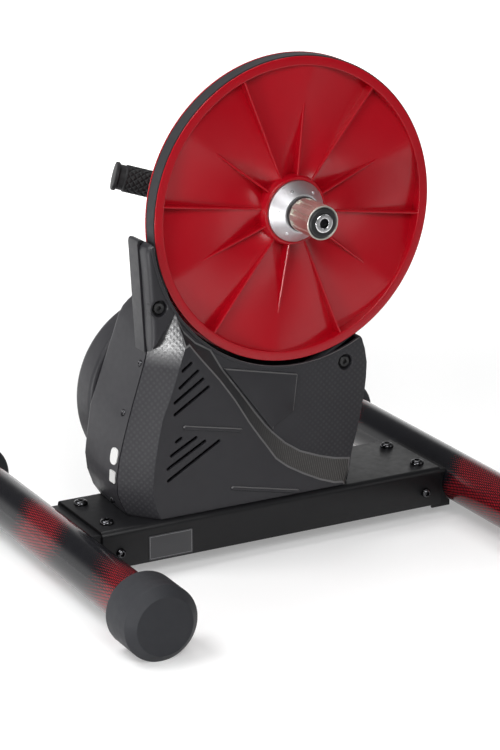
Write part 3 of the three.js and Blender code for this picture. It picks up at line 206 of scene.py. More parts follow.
def woven(name, across, roughness, shine, mask=None, gloss=None):
    """Moulded plastic with a woven grain of diamond cells, whose rows run across in x and y. The mask is a
    pair of x values between which it fades in, and gloss a pair of heights between which the surface
    turns glossier."""
    finish = Finish(name, GRAPHITE, GRAPHITE_DARK, roughness)
    x, y, z = finish.axes(finish.place)
    row = finish.plus(finish.times(x, across[0]), finish.times(y, across[1]))
    both = finish.times(finish.sine(finish.plus(row, z), 2 * WEAVE.pitch),
                        finish.sine(finish.minus(row, z), 2 * WEAVE.pitch))
    cells = finish.times(both, both)
    if mask:
        cells = finish.times(cells, finish.span(x, 0, 1, mask[0] * MM, mask[1] * MM))
    if gloss:
        low, high = gloss[0] * MM, gloss[1] * MM
        finish.spread = finish.plus(finish.spread, finish.span(z, WEAVE.dull, 0, low, high))
        finish.feed(finish.span(z, shine, WEAVE.top_shine, low, high), "Specular IOR Level")
    finish.colour = finish.mix(finish.times(cells, WEAVE.share), finish.colour, WEAVE.light)
    finish.bump(finish.noise(600, 2), 0.008)
    finish.bump(cells, WEAVE.rise)
    return finish.done(shine)


def ribbed(name, grain):
    """The band between the two panels: fine upright ribs that show more towards its low end, with painted
    shade and sheen.
    """
    # The base is darker than the housing: painted shade on the band.
    finish = Finish(name, grain.dark, grain.darker, (0.5, 0.58))
    x = finish.axes(finish.place)[0]
    ribs = finish.sine(x, grain.pitch)
    # Painted sheen: pale stripes along the ribs that grow in towards the band's low end, where it faces up.
    share = finish.span(x, 0, 1, grain.start * MM, grain.full * MM)
    pale = finish.mix(finish.span(ribs, 0, 1, -1, 1), grain.low, grain.high)
    finish.colour = finish.mix(share, finish.colour, pale)
    finish.bump(finish.noise(900, 2), 0.04)
    finish.bump(finish.times(ribs, share), grain.rise)
    return finish.done()


def turned_metal(name, light, dark, roughness, pitch=0.5):
    """Metal with fine rings left by turning about the wheel's axis."""
    finish = Finish(name, light, dark, roughness, 1.0)
    x, y, z = finish.axes(finish.place)
    dx, dz = finish.minus(x, WHEEL[0] * MM), finish.minus(z, WHEEL[1] * MM)
    radius = finish.math("SQRT", finish.plus(finish.times(dx, dx), finish.times(dz, dz)))
    finish.bump(finish.sine(finish.plus(radius, y), pitch), 0.004)
    finish.bump(finish.noise(300, 3), 0.01)
    return finish.done()


def plate_material():
    """A dark plate with a thin light line inside its border."""
    finish = Finish("plate_dark", (0.05, 0.05, 0.054), (0.042, 0.042, 0.046), (0.38, 0.46))
    x, _, z = finish.axes(finish.place)
    inside = []
    for part, low, high in ((x, PLATE.left, PLATE.right), (z, PLATE.bottom, PLATE.top)):
        inside.append(finish.minus((high - low) / 2 * MM, finish.away(part, (low + high) / 2 * MM)))
    edge = finish.math("MINIMUM", *inside)
    line = finish.times(finish.math("GREATER_THAN", edge, PLATE.border * MM),
                        finish.math("LESS_THAN", edge, (PLATE.border + PLATE.line) * MM))
    finish.colour = finish.mix(line, finish.colour, PLATE.line_colour)
    finish.bump(finish.noise(900, 2), 0.03)
    return finish.done()


def tube_material(name, bands):
    """Gloss black with slanted red dashes, which get smaller at the ends of each band along the tube.

    The mesh's UV map gives the share of a turn and the distance along the tube in millimetres. A band is
    its middle, half its full length and the length over which it fades.
    """
    finish = Finish(name, (0.007, 0.007, 0.009), (0.005, 0.005, 0.007), (0.14, 0.2))
    turn, distance, _ = finish.axes(finish.add("UVMap")["UV"])
    rows = finish.math("DIVIDE", distance, PRINT.pitch)
    columns = finish.plus(finish.times(turn, PRINT.columns), finish.math("DIVIDE", distance, PRINT.slant))
    stagger = finish.times(finish.math("FLOOR", rows), 0.5)
    across = finish.away(finish.math("FRACT", finish.plus(columns, stagger)), 0.5)
    upward = finish.away(finish.math("FRACT", rows), 0.5)
    wave = finish.times(finish.math("SINE", finish.times(turn, TURN * PRINT.waves)), PRINT.sway)
    share = 0.0
    for middle, reach, fade in bands:
        away = finish.away(finish.plus(distance, wave), middle)
        share = finish.math("MAXIMUM", share, finish.span(away, 1, 0, reach, reach + fade))
    size = finish.plus(finish.times(across, PRINT.narrow), upward)
    dash = finish.math("LESS_THAN", size, finish.times(share, PRINT.size))
    finish.colour = finish.mix(dash, finish.colour, PRINT.red)
    finish.bump(finish.noise(40, 2), 0.02)
    return finish.done(0.4)


housing = plain("housing", GRAPHITE, GRAPHITE_DARK, (0.4, 0.48), grain_scale=1200, shine=0.36)
# Pale faces along the shell's edges: a painted highlight.
painted_edge_highlight = plain("painted_edge_highlight", (0.14, 0.138, 0.14), (0.11, 0.108, 0.11), (0.3, 0.36), grain=0.03)
facet_weave = woven("facet_weave", (0.62, -0.78), (0.3, 0.34), 0.3, gloss=(203, 222))
panel_weave = woven("panel_weave", (1, 0), (0.42, 0.48), 0.36, mask=(20, 60))
band_ribs_and_sheen = ribbed("band_ribs_and_sheen", BAND_RIBS_AND_SHEEN)
frame_paint = plain("frame_paint", (0.007, 0.007, 0.008), (0.005, 0.005, 0.006), (0.36, 0.44), grain=0.03,
                    shine=0.28)
foot_rubber = plain("foot_rubber", (0.026, 0.027, 0.031), (0.021, 0.022, 0.026), (0.55, 0.65), grain=0.06,
                    shine=0.3)
bolt_black = plain("bolt_black", (0.09, 0.09, 0.095), (0.06, 0.06, 0.065), (0.12, 0.2), 1.0, grain=0.01)
pocket_black = plain("pocket_black", (0.012, 0.012, 0.013), (0.008, 0.008, 0.009), (0.3, 0.4), grain=0.02)
zinc = plain("zinc", (0.62, 0.62, 0.63), (0.5, 0.5, 0.52), (0.28, 0.38), 1.0, grain=0.01, grain_scale=500)
bright_steel = plain("bright_steel", (0.8, 0.8, 0.81), (0.7, 0.7, 0.72), (0.12, 0.2), 1.0, grain=0.01)
casting = plain("casting", (0.03, 0.03, 0.033), (0.022, 0.022, 0.025), (0.45, 0.6), grain=0.15,
                grain_scale=500)
grip_rubber = plain("grip_rubber", (0.008, 0.008, 0.009), (0.006, 0.006, 0.007), (0.5, 0.6), shine=0.3)
disc_red = plain("disc_red", (0.44, 0.0025, 0.011), (0.39, 0.0018, 0.009), (0.2, 0.26), grain=0.02,
                 grain_scale=400, scale=18, shine=0.4)
flange_metal = turned_metal("flange_metal", (0.7, 0.7, 0.72), (0.62, 0.62, 0.64), (0.4, 0.46))
end_polish = turned_metal("end_polish", (0.85, 0.85, 0.86), (0.78, 0.78, 0.8), (0.1, 0.16), 0.8)
freehub_metal = turned_metal("freehub_metal", (0.76, 0.74, 0.67), (0.56, 0.545, 0.49), (0.36, 0.44), 0.9)
ring_black = plain("ring_black", (0.012, 0.012, 0.013), (0.008, 0.008, 0.009), (0.4, 0.5))
belt_rubber = plain("belt_rubber", (0.022, 0.022, 0.025), (0.017, 0.017, 0.02), (0.55, 0.65), shine=0.3)
idler_black = plain("idler_black", (0.03, 0.03, 0.03), (0.02, 0.02, 0.02), (0.45, 0.55))
iron = plain("iron", (0.3, 0.3, 0.31), (0.22, 0.22, 0.23), (0.35, 0.45), 1.0, grain_scale=300)
copper = plain("copper", (0.55, 0.24, 0.12), (0.45, 0.18, 0.09), (0.3, 0.4), 1.0, grain=0.1, grain_scale=200)
board = plain("board", (0.03, 0.16, 0.07), (0.02, 0.12, 0.05), (0.35, 0.45))
inlet_black = plain("inlet_black", (0.014, 0.014, 0.014), (0.01, 0.01, 0.01), (0.4, 0.5))
window_white = plain("window_white", (0.74, 0.74, 0.73), (0.7, 0.7, 0.69), (0.2, 0.28), grain=0.01)
cover_white = plain("cover_white", (0.68, 0.68, 0.67), (0.62, 0.62, 0.61), (0.4, 0.5), grain=0.03)


# Meshes as pieces
def sharpened(mesh, degrees=32):
    """Smooth faces, with every edge sharper than the angle kept crisp."""
    bm = bmesh.new()
    bm.from_mesh(mesh)
    limit = math.radians(degrees)
    for face in bm.faces:
        face.smooth = True
    for edge in bm.edges:
        edge.smooth = len(edge.link_faces) == 2 and edge.calc_face_angle(0) < limit
    bm.to_mesh(mesh)
    bm.free()


def as_mesh(bm, name):
    bmesh.ops.recalc_face_normals(bm, faces=bm.faces)
    mesh = bpy.data.meshes.new(name)
    bm.to_mesh(mesh)
    bm.free()
    return mesh


def scratch(bm):
    """A temporary object for boolean steps."""
    return add_object("scratch", as_mesh(bm, "scratch"))


def combine(target, operation, tools):
    for tool in tools:
        step = target.modifiers.new("step", "BOOLEAN")
        step.operation = operation
        step.solver = "EXACT"
        step.object = tool if isinstance(tool, bpy.types.Object) else scratch(tool)
        graph = bpy.context.evaluated_depsgraph_get()
        mesh = bpy.data.meshes.new_from_object(target.evaluated_get(graph))
        bpy.data.objects.remove(step.object)
        target.modifiers.clear()
        target.data = mesh


def cut(target, *tools):
    combine(target, "DIFFERENCE", tools)


def join(target, *tools):
    combine(target, "UNION", tools)


def taken(obj):
    """The mesh of a scratch object, which is removed."""
    mesh = obj.data
    bpy.data.objects.remove(obj)
    return mesh


def merged(*bodies):
    """One mesh made of several bodies that touch or overlap."""
    whole = bmesh.new()
    for bm in bodies:
        part = as_mesh(bm, "part")
        whole.from_mesh(part)
        bpy.data.meshes.remove(part)
    mesh = bpy.data.meshes.new("merged")
    whole.to_mesh(mesh)
    whole.free()
    return mesh


def show(name, mesh, material, body, slot, *nodes):
    """Adds a piece of the visual model that stands for CAD nodes and rides on a body."""
    if isinstance(mesh, bmesh.types.BMesh):
        mesh = merged(mesh)
    sharpened(mesh)
    mesh.name = name
    materials = material if isinstance(material, list) else [material]
    indices = [polygon.material_index if len(materials) > 1 else 0 for polygon in mesh.polygons]
    mesh.materials.clear()
    for entry in materials:
        mesh.materials.append(entry)
    mesh.polygons.foreach_set("material_index", indices)
    obj = add_object(name, mesh)
    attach(obj, body)
    if nodes:
        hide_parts(*nodes)


# Outlines and bodies
def around(centre, radius, angle):
    return centre[0] + radius * math.cos(angle), centre[1] + radius * math.sin(angle)


def between(low, high, share):
    return low + (high - low) * share


def fillet(points, steps=4, closed=True):
    """Rounds the corners of an outline. A point's third value is its radius."""
    out = []
    for i, (x, y, *radius) in enumerate(points):
        here = Vector((x, y))
        ends = not closed and i in (0, len(points) - 1)
        if not radius or ends:
            out.append((here.x, here.y))
            continue
        back = Vector(points[i - 1][:2]) - here
        ahead = Vector(points[(i + 1) % len(points)][:2]) - here
        half = back.angle(ahead) / 2
        reach = min(radius[0] / math.tan(half), back.length * 0.49, ahead.length * 0.49)
        start = here + back.normalized() * reach
        end = here + ahead.normalized() * reach
        for k in range(steps + 1):
            t = k / steps
            place = start * (1 - t) ** 2 + here * (2 * t * (1 - t)) + end * t ** 2
            out.append((place.x, place.y))
    return out


def polygon_radius(radius, corners, angle):
    """The distance to a regular polygon's side at an angle."""
    sector = TURN / corners
    return radius * math.cos(sector / 2) / math.cos((angle % sector) - sector / 2)


def lathe(profile, centre=(0, 0), count=ROUND, closed=True):
    """A body turned about an axis along Y. A profile point is (radius, y) or (radius, y, corners)."""
    bm = bmesh.new()
    uv = bm.loops.layers.uv.new("UVMap")
    rows = []
    for radius, y, *corners in profile:
        row = []
        for i in range(count if radius else 1):
            angle = TURN * i / count
            reach = polygon_radius(radius, corners[0], angle) if corners else radius
            x, z = around(centre, reach, angle)
            row.append(bm.verts.new(mm(x, y, z)))
        rows.append(row)
    following = rows[1:] + (rows[:1] if closed else [])
    heights = [spot[1] for spot in profile]
    for row, after, y0, y1 in zip(rows, following, heights, heights[1:] + heights[:1]):
        if len(row) == len(after) == 1:
            continue
        for i in range(count):
            spots = {}
            for ring, step, y in ((row, i, y0), (row, i + 1, y0), (after, i + 1, y1), (after, i, y1)):
                spots.setdefault(ring[step % len(ring)], (step / count, y))
            face = bm.faces.new(list(spots))
            for loop, spot in zip(face.loops, spots.values()):
                loop[uv].uv = spot
    return bm


def solid(points, centre, count=ROUND, steps=4):
    """A turned body whose profile starts and ends on the axis, with rounded corners."""
    return lathe(fillet(points, steps, closed=False), centre, count, closed=False)


def ring(points, centre=WHEEL, count=ROUND, steps=4):
    """A turned body with an opening, with rounded corners."""
    return lathe(fillet(points, steps), centre, count)


def pointing(along):
    """The turn from the Y axis to a direction."""
    return Vector((0, 1, 0)).rotation_difference(Vector(along)).to_matrix().to_4x4()


def stood(bm, place, turn):
    bmesh.ops.transform(bm, matrix=Matrix.Translation(mm(*place)) @ turn, verts=bm.verts)
    return bm


def turned_along(profile, start, along, count=ROUND):
    """A turned body that points from a start along a direction, with profile points (radius, distance)."""
    return stood(lathe(profile, count=count, closed=False), start, pointing(along))


def skin(rows, closed=False):
    """Faces between rows of points. A row is a loop, and the last row meets the first or both get a cap."""
    bm = bmesh.new()
    loops = [[bm.verts.new(mm(*spot)) for spot in row] for row in rows]
    if not closed:
        bm.faces.new(loops[0])
        bm.faces.new(loops[-1][::-1])
    for loop, after in zip(loops, loops[1:] + (loops[:1] if closed else [])):
        for i in range(len(loop)):
            j = (i + 1) % len(loop)
            bm.faces.new((loop[i], after[i], after[j], loop[j]))
    return bm


def rounded(bm, edges, width, segments=3, material=-1):
    bmesh.ops.bevel(bm, geom=edges, offset=width * MM, segments=segments, profile=0.5,
                    affect="EDGES", clamp_overlap=True, material=material)


def sharp_edges(bm, degrees, shortest=0.0):
    limit = math.radians(degrees)
    return [e for e in bm.edges if e.calc_face_angle(0) > limit and e.calc_length() >= shortest * MM]


def loft(near, y_near, far, y_far):
    return skin([[(x, y_near, z) for x, z in near], [(x, y_far, z) for x, z in far]])


def slab(outline, y0, y1, bevel=0.0, segments=3):
    """An outline in x and z, drawn out from y0 to y1, with its edges rounded."""
    bm = loft(outline, y0, outline, y1)
    if bevel:
        bmesh.ops.recalc_face_normals(bm, faces=bm.faces)
        rounded(bm, sharp_edges(bm, 25), bevel, segments)
    return bm


def block(x0, x1, y0, y1, z0, z1, bevel=0.0):
    return slab([(x0, z0), (x1, z0), (x1, z1), (x0, z1)], y0, y1, bevel)


def rod(radius, y0, y1, centre, count=64):
    return solid([(0, y0), (radius, y0), (radius, y1), (0, y1)], centre, count)


def capsule(start, end, radius, steps=8):
    heading = math.atan2(end[1] - start[1], end[0] - start[0])
    points = []
    for centre, first in ((end, -0.25), (start, 0.25)):
        points += [around(centre, radius, heading + TURN * (first + i / steps / 2)) for i in range(steps + 1)]
    return points


# Base beam and leg brackets
BEAM = Sizes(half_length=190, half_width=53, top=54.5, bottom=15.5, sheet=3, fold=6, edge=0.6)
BRACKET = Sizes(inner=130, low_start=182, outer=203, bottom=11, gap=0.4, fold=3.5)
TUBE = Sizes(x=218, z=36, radius=24.15, sheet=2.5)


def channel(half_width, top, bottom, fold, x0, x1):
    """A folded channel, open underneath, as one outline drawn out along X."""
    steps = 8

    def outline(inset):
        radius = max(fold - inset, 0.2)
        across, high = half_width - inset - radius, top - inset - radius
        points = [(inset - half_width, bottom)]
        for side in (-1, 1):
            for i in range(steps + 1):
                angle = TURN / 4 * (i / steps if side > 0 else 1 - i / steps)
                points.append((side * (across + radius * math.sin(angle)), high + radius * math.cos(angle)))
        return points + [(half_width - inset, bottom)]

    loop = outline(0) + outline(BEAM.sheet)[::-1]
    count = len(loop)
    bm = bmesh.new()
    rows = [[bm.verts.new(mm(x, y, z)) for y, z in loop] for x in (x0, x1)]
    for i in range(count):
        j = (i + 1) % count
        bm.faces.new((rows[0][i], rows[0][j], rows[1][j], rows[1][i]))
    for row in rows:
        for i in range(count // 2 - 1):
            bm.faces.new((row[i], row[i + 1], row[count - 2 - i], row[count - 1 - i]))
    bmesh.ops.recalc_face_normals(bm, faces=bm.faces)
    rounded(bm, sharp_edges(bm, 60), BEAM.edge, 2)
    return bm


show("beam_detail", channel(BEAM.half_width, BEAM.top, BEAM.bottom, BEAM.fold, -BEAM.half_length,
                            BEAM.half_length), frame_paint, STAND, "frame_black", "base_beam")
bracket_inset = BEAM.sheet + BRACKET.gap
for end_name, end in ENDS:
    bracket = scratch(channel(BEAM.half_width - bracket_inset, BEAM.top - bracket_inset, BRACKET.bottom,
                              BRACKET.fold, *sorted((end * BRACKET.inner, end * BRACKET.outer))))
    low = sorted((end * (BRACKET.inner - OVER), end * BRACKET.low_start))
    cut(bracket,
        block(*low, -BEAM.half_width, BEAM.half_width, 0, BEAM.bottom),
        rod(TUBE.radius + CLEAR, -BEAM.half_width, BEAM.half_width, (end * TUBE.x, TUBE.z), 96))
    show(f"{end_name}_bracket_detail", taken(bracket), frame_paint, STAND, "frame_black",
         f"{end_name}_leg_bracket")

# Leg tubes and foot caps
CAP = Sizes(radius=36.5, end=244, length=49.6, floor=7.6, chamfer=8.5, lip=2)
TUBE_PRINT = {"rear": [(0, 26, 34), (-200, 40, 50), (200, 40, 50)], "front": [(-110, 45, 24), (185, 25, 35)]}
tube_bore, tube_half = TUBE.radius - TUBE.sheet, CAP.end - CAP.floor - CLEAR
tube_profile = [(tube_bore, -tube_half), (TUBE.radius, -tube_half), (TUBE.radius, tube_half),
                (tube_bore, tube_half)]
cap_inside, cap_socket = CAP.end - CAP.length, TUBE.radius + CLEAR
cap_profile = fillet([
    (0, CAP.end), (CAP.radius - CAP.chamfer, CAP.end, 1.2), (CAP.radius, CAP.end - CAP.chamfer, 1.6),
    (CAP.radius, cap_inside + CAP.lip, 1.5), (CAP.radius - CAP.lip, cap_inside, 0.8),
    (cap_socket, cap_inside), (cap_socket, CAP.end - CAP.floor), (0, CAP.end - CAP.floor),
], closed=False)
for end_name, end in ENDS:
    centre = (end * TUBE.x, TUBE.z)
    show(f"{end_name}_tube_detail", lathe(tube_profile, centre),
         tube_material(f"tube_gloss_{end_name}", TUBE_PRINT[end_name]), STAND, "leg_gloss",
         f"{end_name}_leg_tube")
    for side_name, side in SIDES:
        cap = scratch(lathe([(r, side * y) for r, y in cap_profile], centre, closed=False))
        reach = CAP.radius + OVER
        cut(cap, block(centre[0] - reach, centre[0] + reach, -CAP.end - OVER, CAP.end + OVER, -reach, 0))
        show(f"cap_{end_name}_{side_name}_detail", taken(cap), foot_rubber, STAND, "foot_rubber",
             f"foot_cap_{end_name}_{side_name}")


# Bolts
def hex_socket(radius, bottom, mouth):
    """The start of a bolt's profile."""
    return [(0, bottom), (radius, bottom, 6), (radius, mouth, 6)]


def shank(radius, start, end):
    """The end of a bolt's profile."""
    return [(radius, start), (radius, end), (0, end)]


BUTTON = Sizes(crown=0.96, socket_depth=2.2,
               curve=((0.68, 0.93), (0.86, 0.74), (0.96, 0.48), (1, 0.2), (1, 0)))


def button_bolt(bolt, shank_length):
    """A domed bolt head with a hexagon socket, standing on zero and pointing along Y."""
    crown = bolt.height * BUTTON.crown
    return lathe([
        *hex_socket(bolt.hex, crown - BUTTON.socket_depth, crown), (bolt.hex * 1.1, bolt.height),
        *[(bolt.radius * across, bolt.height * up) for across, up in BUTTON.curve],
        *shank(bolt.shank, 0, -shank_length)], count=48, closed=False)


UPRIGHT_TURN = Matrix.Rotation(TURN / 4, 4, "X")
LEG_BOLT = Sizes(x=175, y=30, radius=7, height=4, hex=2.9, shank=4, shank_end=40)
CROSS_BOLT = Sizes(x=171.5, z=31, radius=4.9, height=4, hex=2.6, shank=4)
for end_name, end in ENDS:
    for side_name, side in SIDES:
        bolt = button_bolt(LEG_BOLT, BEAM.top - LEG_BOLT.shank_end)
        place = (end * LEG_BOLT.x, side * LEG_BOLT.y, BEAM.top + CLEAR)
        show(f"leg_bolt_{end_name}_{side_name}_detail", stood(bolt, place, UPRIGHT_TURN), bolt_black, STAND,
             "bolt_black", f"leg_bolt_{end_name}_{side_name}")
for end_name, end in ENDS:
    face = BEAM.half_width + CLEAR
    heads = []
    for _, side in SIDES:
        place = (end * CROSS_BOLT.x, side * face, CROSS_BOLT.z)
        turn = Matrix.Rotation(TURN / 2 if side < 0 else 0, 4, "Z")
        heads.append(stood(button_bolt(CROSS_BOLT, face), place, turn))
    show(f"cross_bolt_{end_name}_detail", merged(*heads), bolt_black, STAND, "bolt_black",
         f"leg_cross_bolt_{end_name}")

plate_back = -BEAM.half_width - CLEAR
plate_corners = [(PLATE.left, PLATE.bottom), (PLATE.right, PLATE.bottom), (PLATE.right, PLATE.top),
                 (PLATE.left, PLATE.top)]
plate = slab(fillet([(x, z, PLATE.corner) for x, z in plate_corners]), plate_back - PLATE.sheet, plate_back,
             0.12, 2)
show("plate_detail", plate, plate_material(), STAND, "label_grey", "rating_plate")

# Upright frame
UPRIGHT = Sizes(
    front=6, back=24, corner=8, foot_left=-62, foot_right=84, foot_front=-12, foot_back=42, foot_top=66,
    wheel_boss=26, wheel_boss_front=-7, wheel_boss_back=34, spacer=10.7, fly_boss=21, fly_boss_front=0,
    fly_boss_back=42, fly_bore=15, pivot=(2.504, 133.285), pivot_boss=8, pivot_front=-8.2,
    slot_radius=11, slot_x=24, slot_low=190, slot_high=262, through=(-14, 44))
WEB = [(-50, 60), (74, 60), (58, 160), (52, 330), (8, 330), (-6, 232), (-40, 172), (-62, 130)]
HANDLE = Sizes(end=(-117.5, 60, 372.5), along=(0.9, -0.34, -0.27), bar=11, bar_start=4, bar_end=129,
               socket_start=114, socket_end=148, socket=16)
AXLE = Sizes(radius=7.5, bore=4.8, front=-88, back=38)
FOOT_BOLT = Sizes(x={"rear": -46, "front": 70}, y={"drive": -4, "off": 34}, radius=6, height=5, hex=2.5,
                  shank=3.5, shank_end=46)


def along_handle(radius, start, end, count=64):
    profile = [(0, start), (radius, start), (radius, end), (0, end)]
    return turned_along(profile, HANDLE.end, HANDLE.along, count)


def boss(radius, y0, y1, centre, edge=1.5):
    return solid([(0, y0), (radius, y0, edge), (radius, y1, edge), (0, y1)], centre, 72)


upright = scratch(slab(fillet([(x, z, UPRIGHT.corner) for x, z in WEB]), UPRIGHT.front, UPRIGHT.back, 1.5))
join(upright,
     block(UPRIGHT.foot_left, UPRIGHT.foot_right, UPRIGHT.foot_front, UPRIGHT.foot_back, BEAM.top + CLEAR,
           UPRIGHT.foot_top, 1.2),
     boss(UPRIGHT.wheel_boss, UPRIGHT.front + 0.1, UPRIGHT.wheel_boss_back, WHEEL),
     boss(UPRIGHT.spacer, UPRIGHT.wheel_boss_front, UPRIGHT.back - OVER, WHEEL, 0.6),
     boss(UPRIGHT.fly_boss, UPRIGHT.fly_boss_front, UPRIGHT.fly_boss_back, FLY),
     boss(UPRIGHT.pivot_boss, UPRIGHT.pivot_front, UPRIGHT.back - OVER, UPRIGHT.pivot, 0.8),
     along_handle(HANDLE.socket, HANDLE.socket_start, HANDLE.socket_end, 72))
cut(upright,
    rod(AXLE.radius + CLEAR, *UPRIGHT.through, WHEEL),
    rod(UPRIGHT.fly_bore + CLEAR, *UPRIGHT.through, FLY),
    along_handle(HANDLE.bar + CLEAR, 0, HANDLE.bar_end + CLEAR),
    slab(capsule((UPRIGHT.slot_x, UPRIGHT.slot_low), (WHEEL[0], UPRIGHT.slot_high), UPRIGHT.slot_radius, 10),
         *UPRIGHT.through))
show("upright_detail", taken(upright), casting, STAND, "cast_alloy", "upright_frame")
for end_name, _ in ENDS:
    for side_name, _ in SIDES:
        bolt = button_bolt(FOOT_BOLT, UPRIGHT.foot_top - FOOT_BOLT.shank_end)
        place = (FOOT_BOLT.x[end_name], FOOT_BOLT.y[side_name], UPRIGHT.foot_top + CLEAR)
        show(f"upright_bolt_{end_name}_{side_name}_detail", stood(bolt, place, UPRIGHT_TURN), zinc, STAND,
             "zinc_steel", f"upright_bolt_{end_name}_{side_name}")

# Handle
show("handle_bar_detail", along_handle(HANDLE.bar, HANDLE.bar_start, HANDLE.bar_end, 72), frame_paint,
     STAND, "frame_black", "handle_bar")
GRIP = Sizes(end=111, radius=13.3, flange=14, flange_length=3.5, ring=10, groove=1, steps=110, count=120,
             tread=1.0, tread_pitch=7.0, tread_count=12, tread_width=0.16, plain_end=1.5)


def grip_body():
    """The grip with a crossing tread cut into its barrel."""
    start, bore, bore_end = GRIP.ring + GRIP.groove, HANDLE.bar + CLEAR, HANDLE.bar_start - CLEAR
    profile = fillet([
        (0, 0), (GRIP.flange, 0, 1.0), (GRIP.flange, GRIP.flange_length, 0.8),
        (GRIP.radius - GRIP.groove, GRIP.flange_length + GRIP.groove, 0.4),
        (GRIP.radius - GRIP.groove, GRIP.ring, 0.4), (GRIP.radius, start),
    ], closed=False)
    profile += [(GRIP.radius, between(start, GRIP.end, (i + 1) / GRIP.steps)) for i in range(GRIP.steps)]
    profile += [(bore, GRIP.end), (bore, bore_end), (0, bore_end)]
    bm = lathe(profile, count=GRIP.count, closed=False)
    for vert in bm.verts:
        y = vert.co.y / MM
        radius = math.hypot(vert.co.x, vert.co.z) / MM
        if not start + GRIP.plain_end <= y <= GRIP.end - GRIP.plain_end or radius < GRIP.radius - 0.1:
            continue
        turn = math.atan2(vert.co.z, vert.co.x) / TURN * GRIP.tread_count
        travel = (y - start) / GRIP.tread_pitch
        groove = min(abs((turn + travel) % 1 - 0.5), abs((turn - travel) % 1 - 0.5))
        factor = 1 - GRIP.tread * max(0.0, 1 - groove / GRIP.tread_width) / radius
        vert.co.x *= factor
        vert.co.z *= factor
    return stood(bm, HANDLE.end, pointing(HANDLE.along))


show("grip_detail", grip_body(), grip_rubber, STAND, "grip_rubber", "handle_grip")

# Axle and its ends
show("axle_detail", lathe([(AXLE.bore, AXLE.front), (AXLE.radius, AXLE.front), (AXLE.radius, AXLE.back),
                           (AXLE.bore, AXLE.back)], WHEEL, 72), zinc, STAND, "zinc_steel", "main_axle")
END_CAP = Sizes(radius=9.2, edge=1.1)
# Each cap's name, face, end of the axle, overlap along the axle and side
END_CAPS = (("drive", -92.4, AXLE.front, 5, -1), ("off", 42.6, AXLE.back, 3, 1))
for name, face, axle_end, overlap, side in END_CAPS:
    socket, stop, inside = AXLE.radius + CLEAR, axle_end + side * CLEAR, axle_end - side * overlap
    cap = ring([
        (AXLE.bore, face, 0.7), (END_CAP.radius, face, END_CAP.edge), (END_CAP.radius, inside),
        (socket, inside), (socket, stop), (AXLE.bore, stop)], WHEEL, 96, 5)
    show(f"{name}_end_detail", cap, end_polish, STAND, "end_polish", f"{name}_end_cap")

# Large disc
BELT = Sizes(front=-33, back=-17.6, thickness=3, big_seat=147.5, small_seat=17.5, gap=0.5, ribs=6)
RIM = Sizes(
    front=-34.4, back=-15.8, radius=150, lip=151.5, inner=141, hub_front=-36, hub_back=-18, hub_radius=33,
    hub_root=35, seat=-30, web_high=-31.5, web_low=-21, sheet=2.5, lobes=6, first_turn=-8.2 / 360,
    rib_width=2.2, rib_front=-33.2, rib_hub_front=-31.7, rib_sunk=1.5, short_front=-33, short_end=104,
    crease=0.05)
FLANGE = Sizes(radius=30, front=-37.7, cone=19, cone_front=-50)
HUB_BODY = Sizes(radius=20.7, bore=13.3, back=-8)
WEB_INNER, WEB_OUTER = RIM.hub_root - 1, RIM.inner + 1
RIB_SECTION = [(-0.62, 0, True), (-0.5, 0.7, False), (-0.3, 0.15, False), (0, 0, False), (0.3, 0.15, False),
               (0.5, 0.7, False), (0.62, 0, True)]


def along_radius(share):
    return between(WEB_INNER, WEB_OUTER, share)


def web_depth(radius_share, sector_share):
    """Depth of the pleated web, with its crests softened."""
    soft = min(1 + RIM.crease - math.hypot(1 - sector_share, RIM.crease), 1.0)
    return between(RIM.web_low, RIM.web_high, (1 - soft) * (1 - radius_share) + soft * radius_share)


def web_body():
    half_steps, rings = 16, 26
    count = 2 * RIM.lobes * half_steps
    rows = []
    for layer in (0, 1):
        for i in range(rings + 1):
            share = (rings - i if layer else i) / rings
            row = []
            for j in range(count):
                sector = 1 - abs(j % (2 * half_steps) / half_steps - 1)
                x, z = around(WHEEL, along_radius(share), TURN * (RIM.first_turn + j / count))
                row.append((x, web_depth(share, sector) + layer * RIM.sheet, z))
            rows.append(row)
    return skin(rows, closed=True)


def rib(turn, stations):
    """A rib on a radius, with a rounded crest. A station is its radius, its top's y and its root's y."""
    angle = TURN * turn
    outward = Vector((math.cos(angle), 0, math.sin(angle)))
    aside = Vector((-math.sin(angle), 0, math.cos(angle)))
    rows = []
    for radius, y_top, y_root in stations:
        row = []
        for side, drop, at_root in RIB_SECTION:
            place = outward * radius + aside * side * RIM.rib_width
            row.append((WHEEL[0] + place.x, y_root if at_root else y_top + drop, WHEEL[1] + place.z))
        rows.append(row)
    return skin(rows)


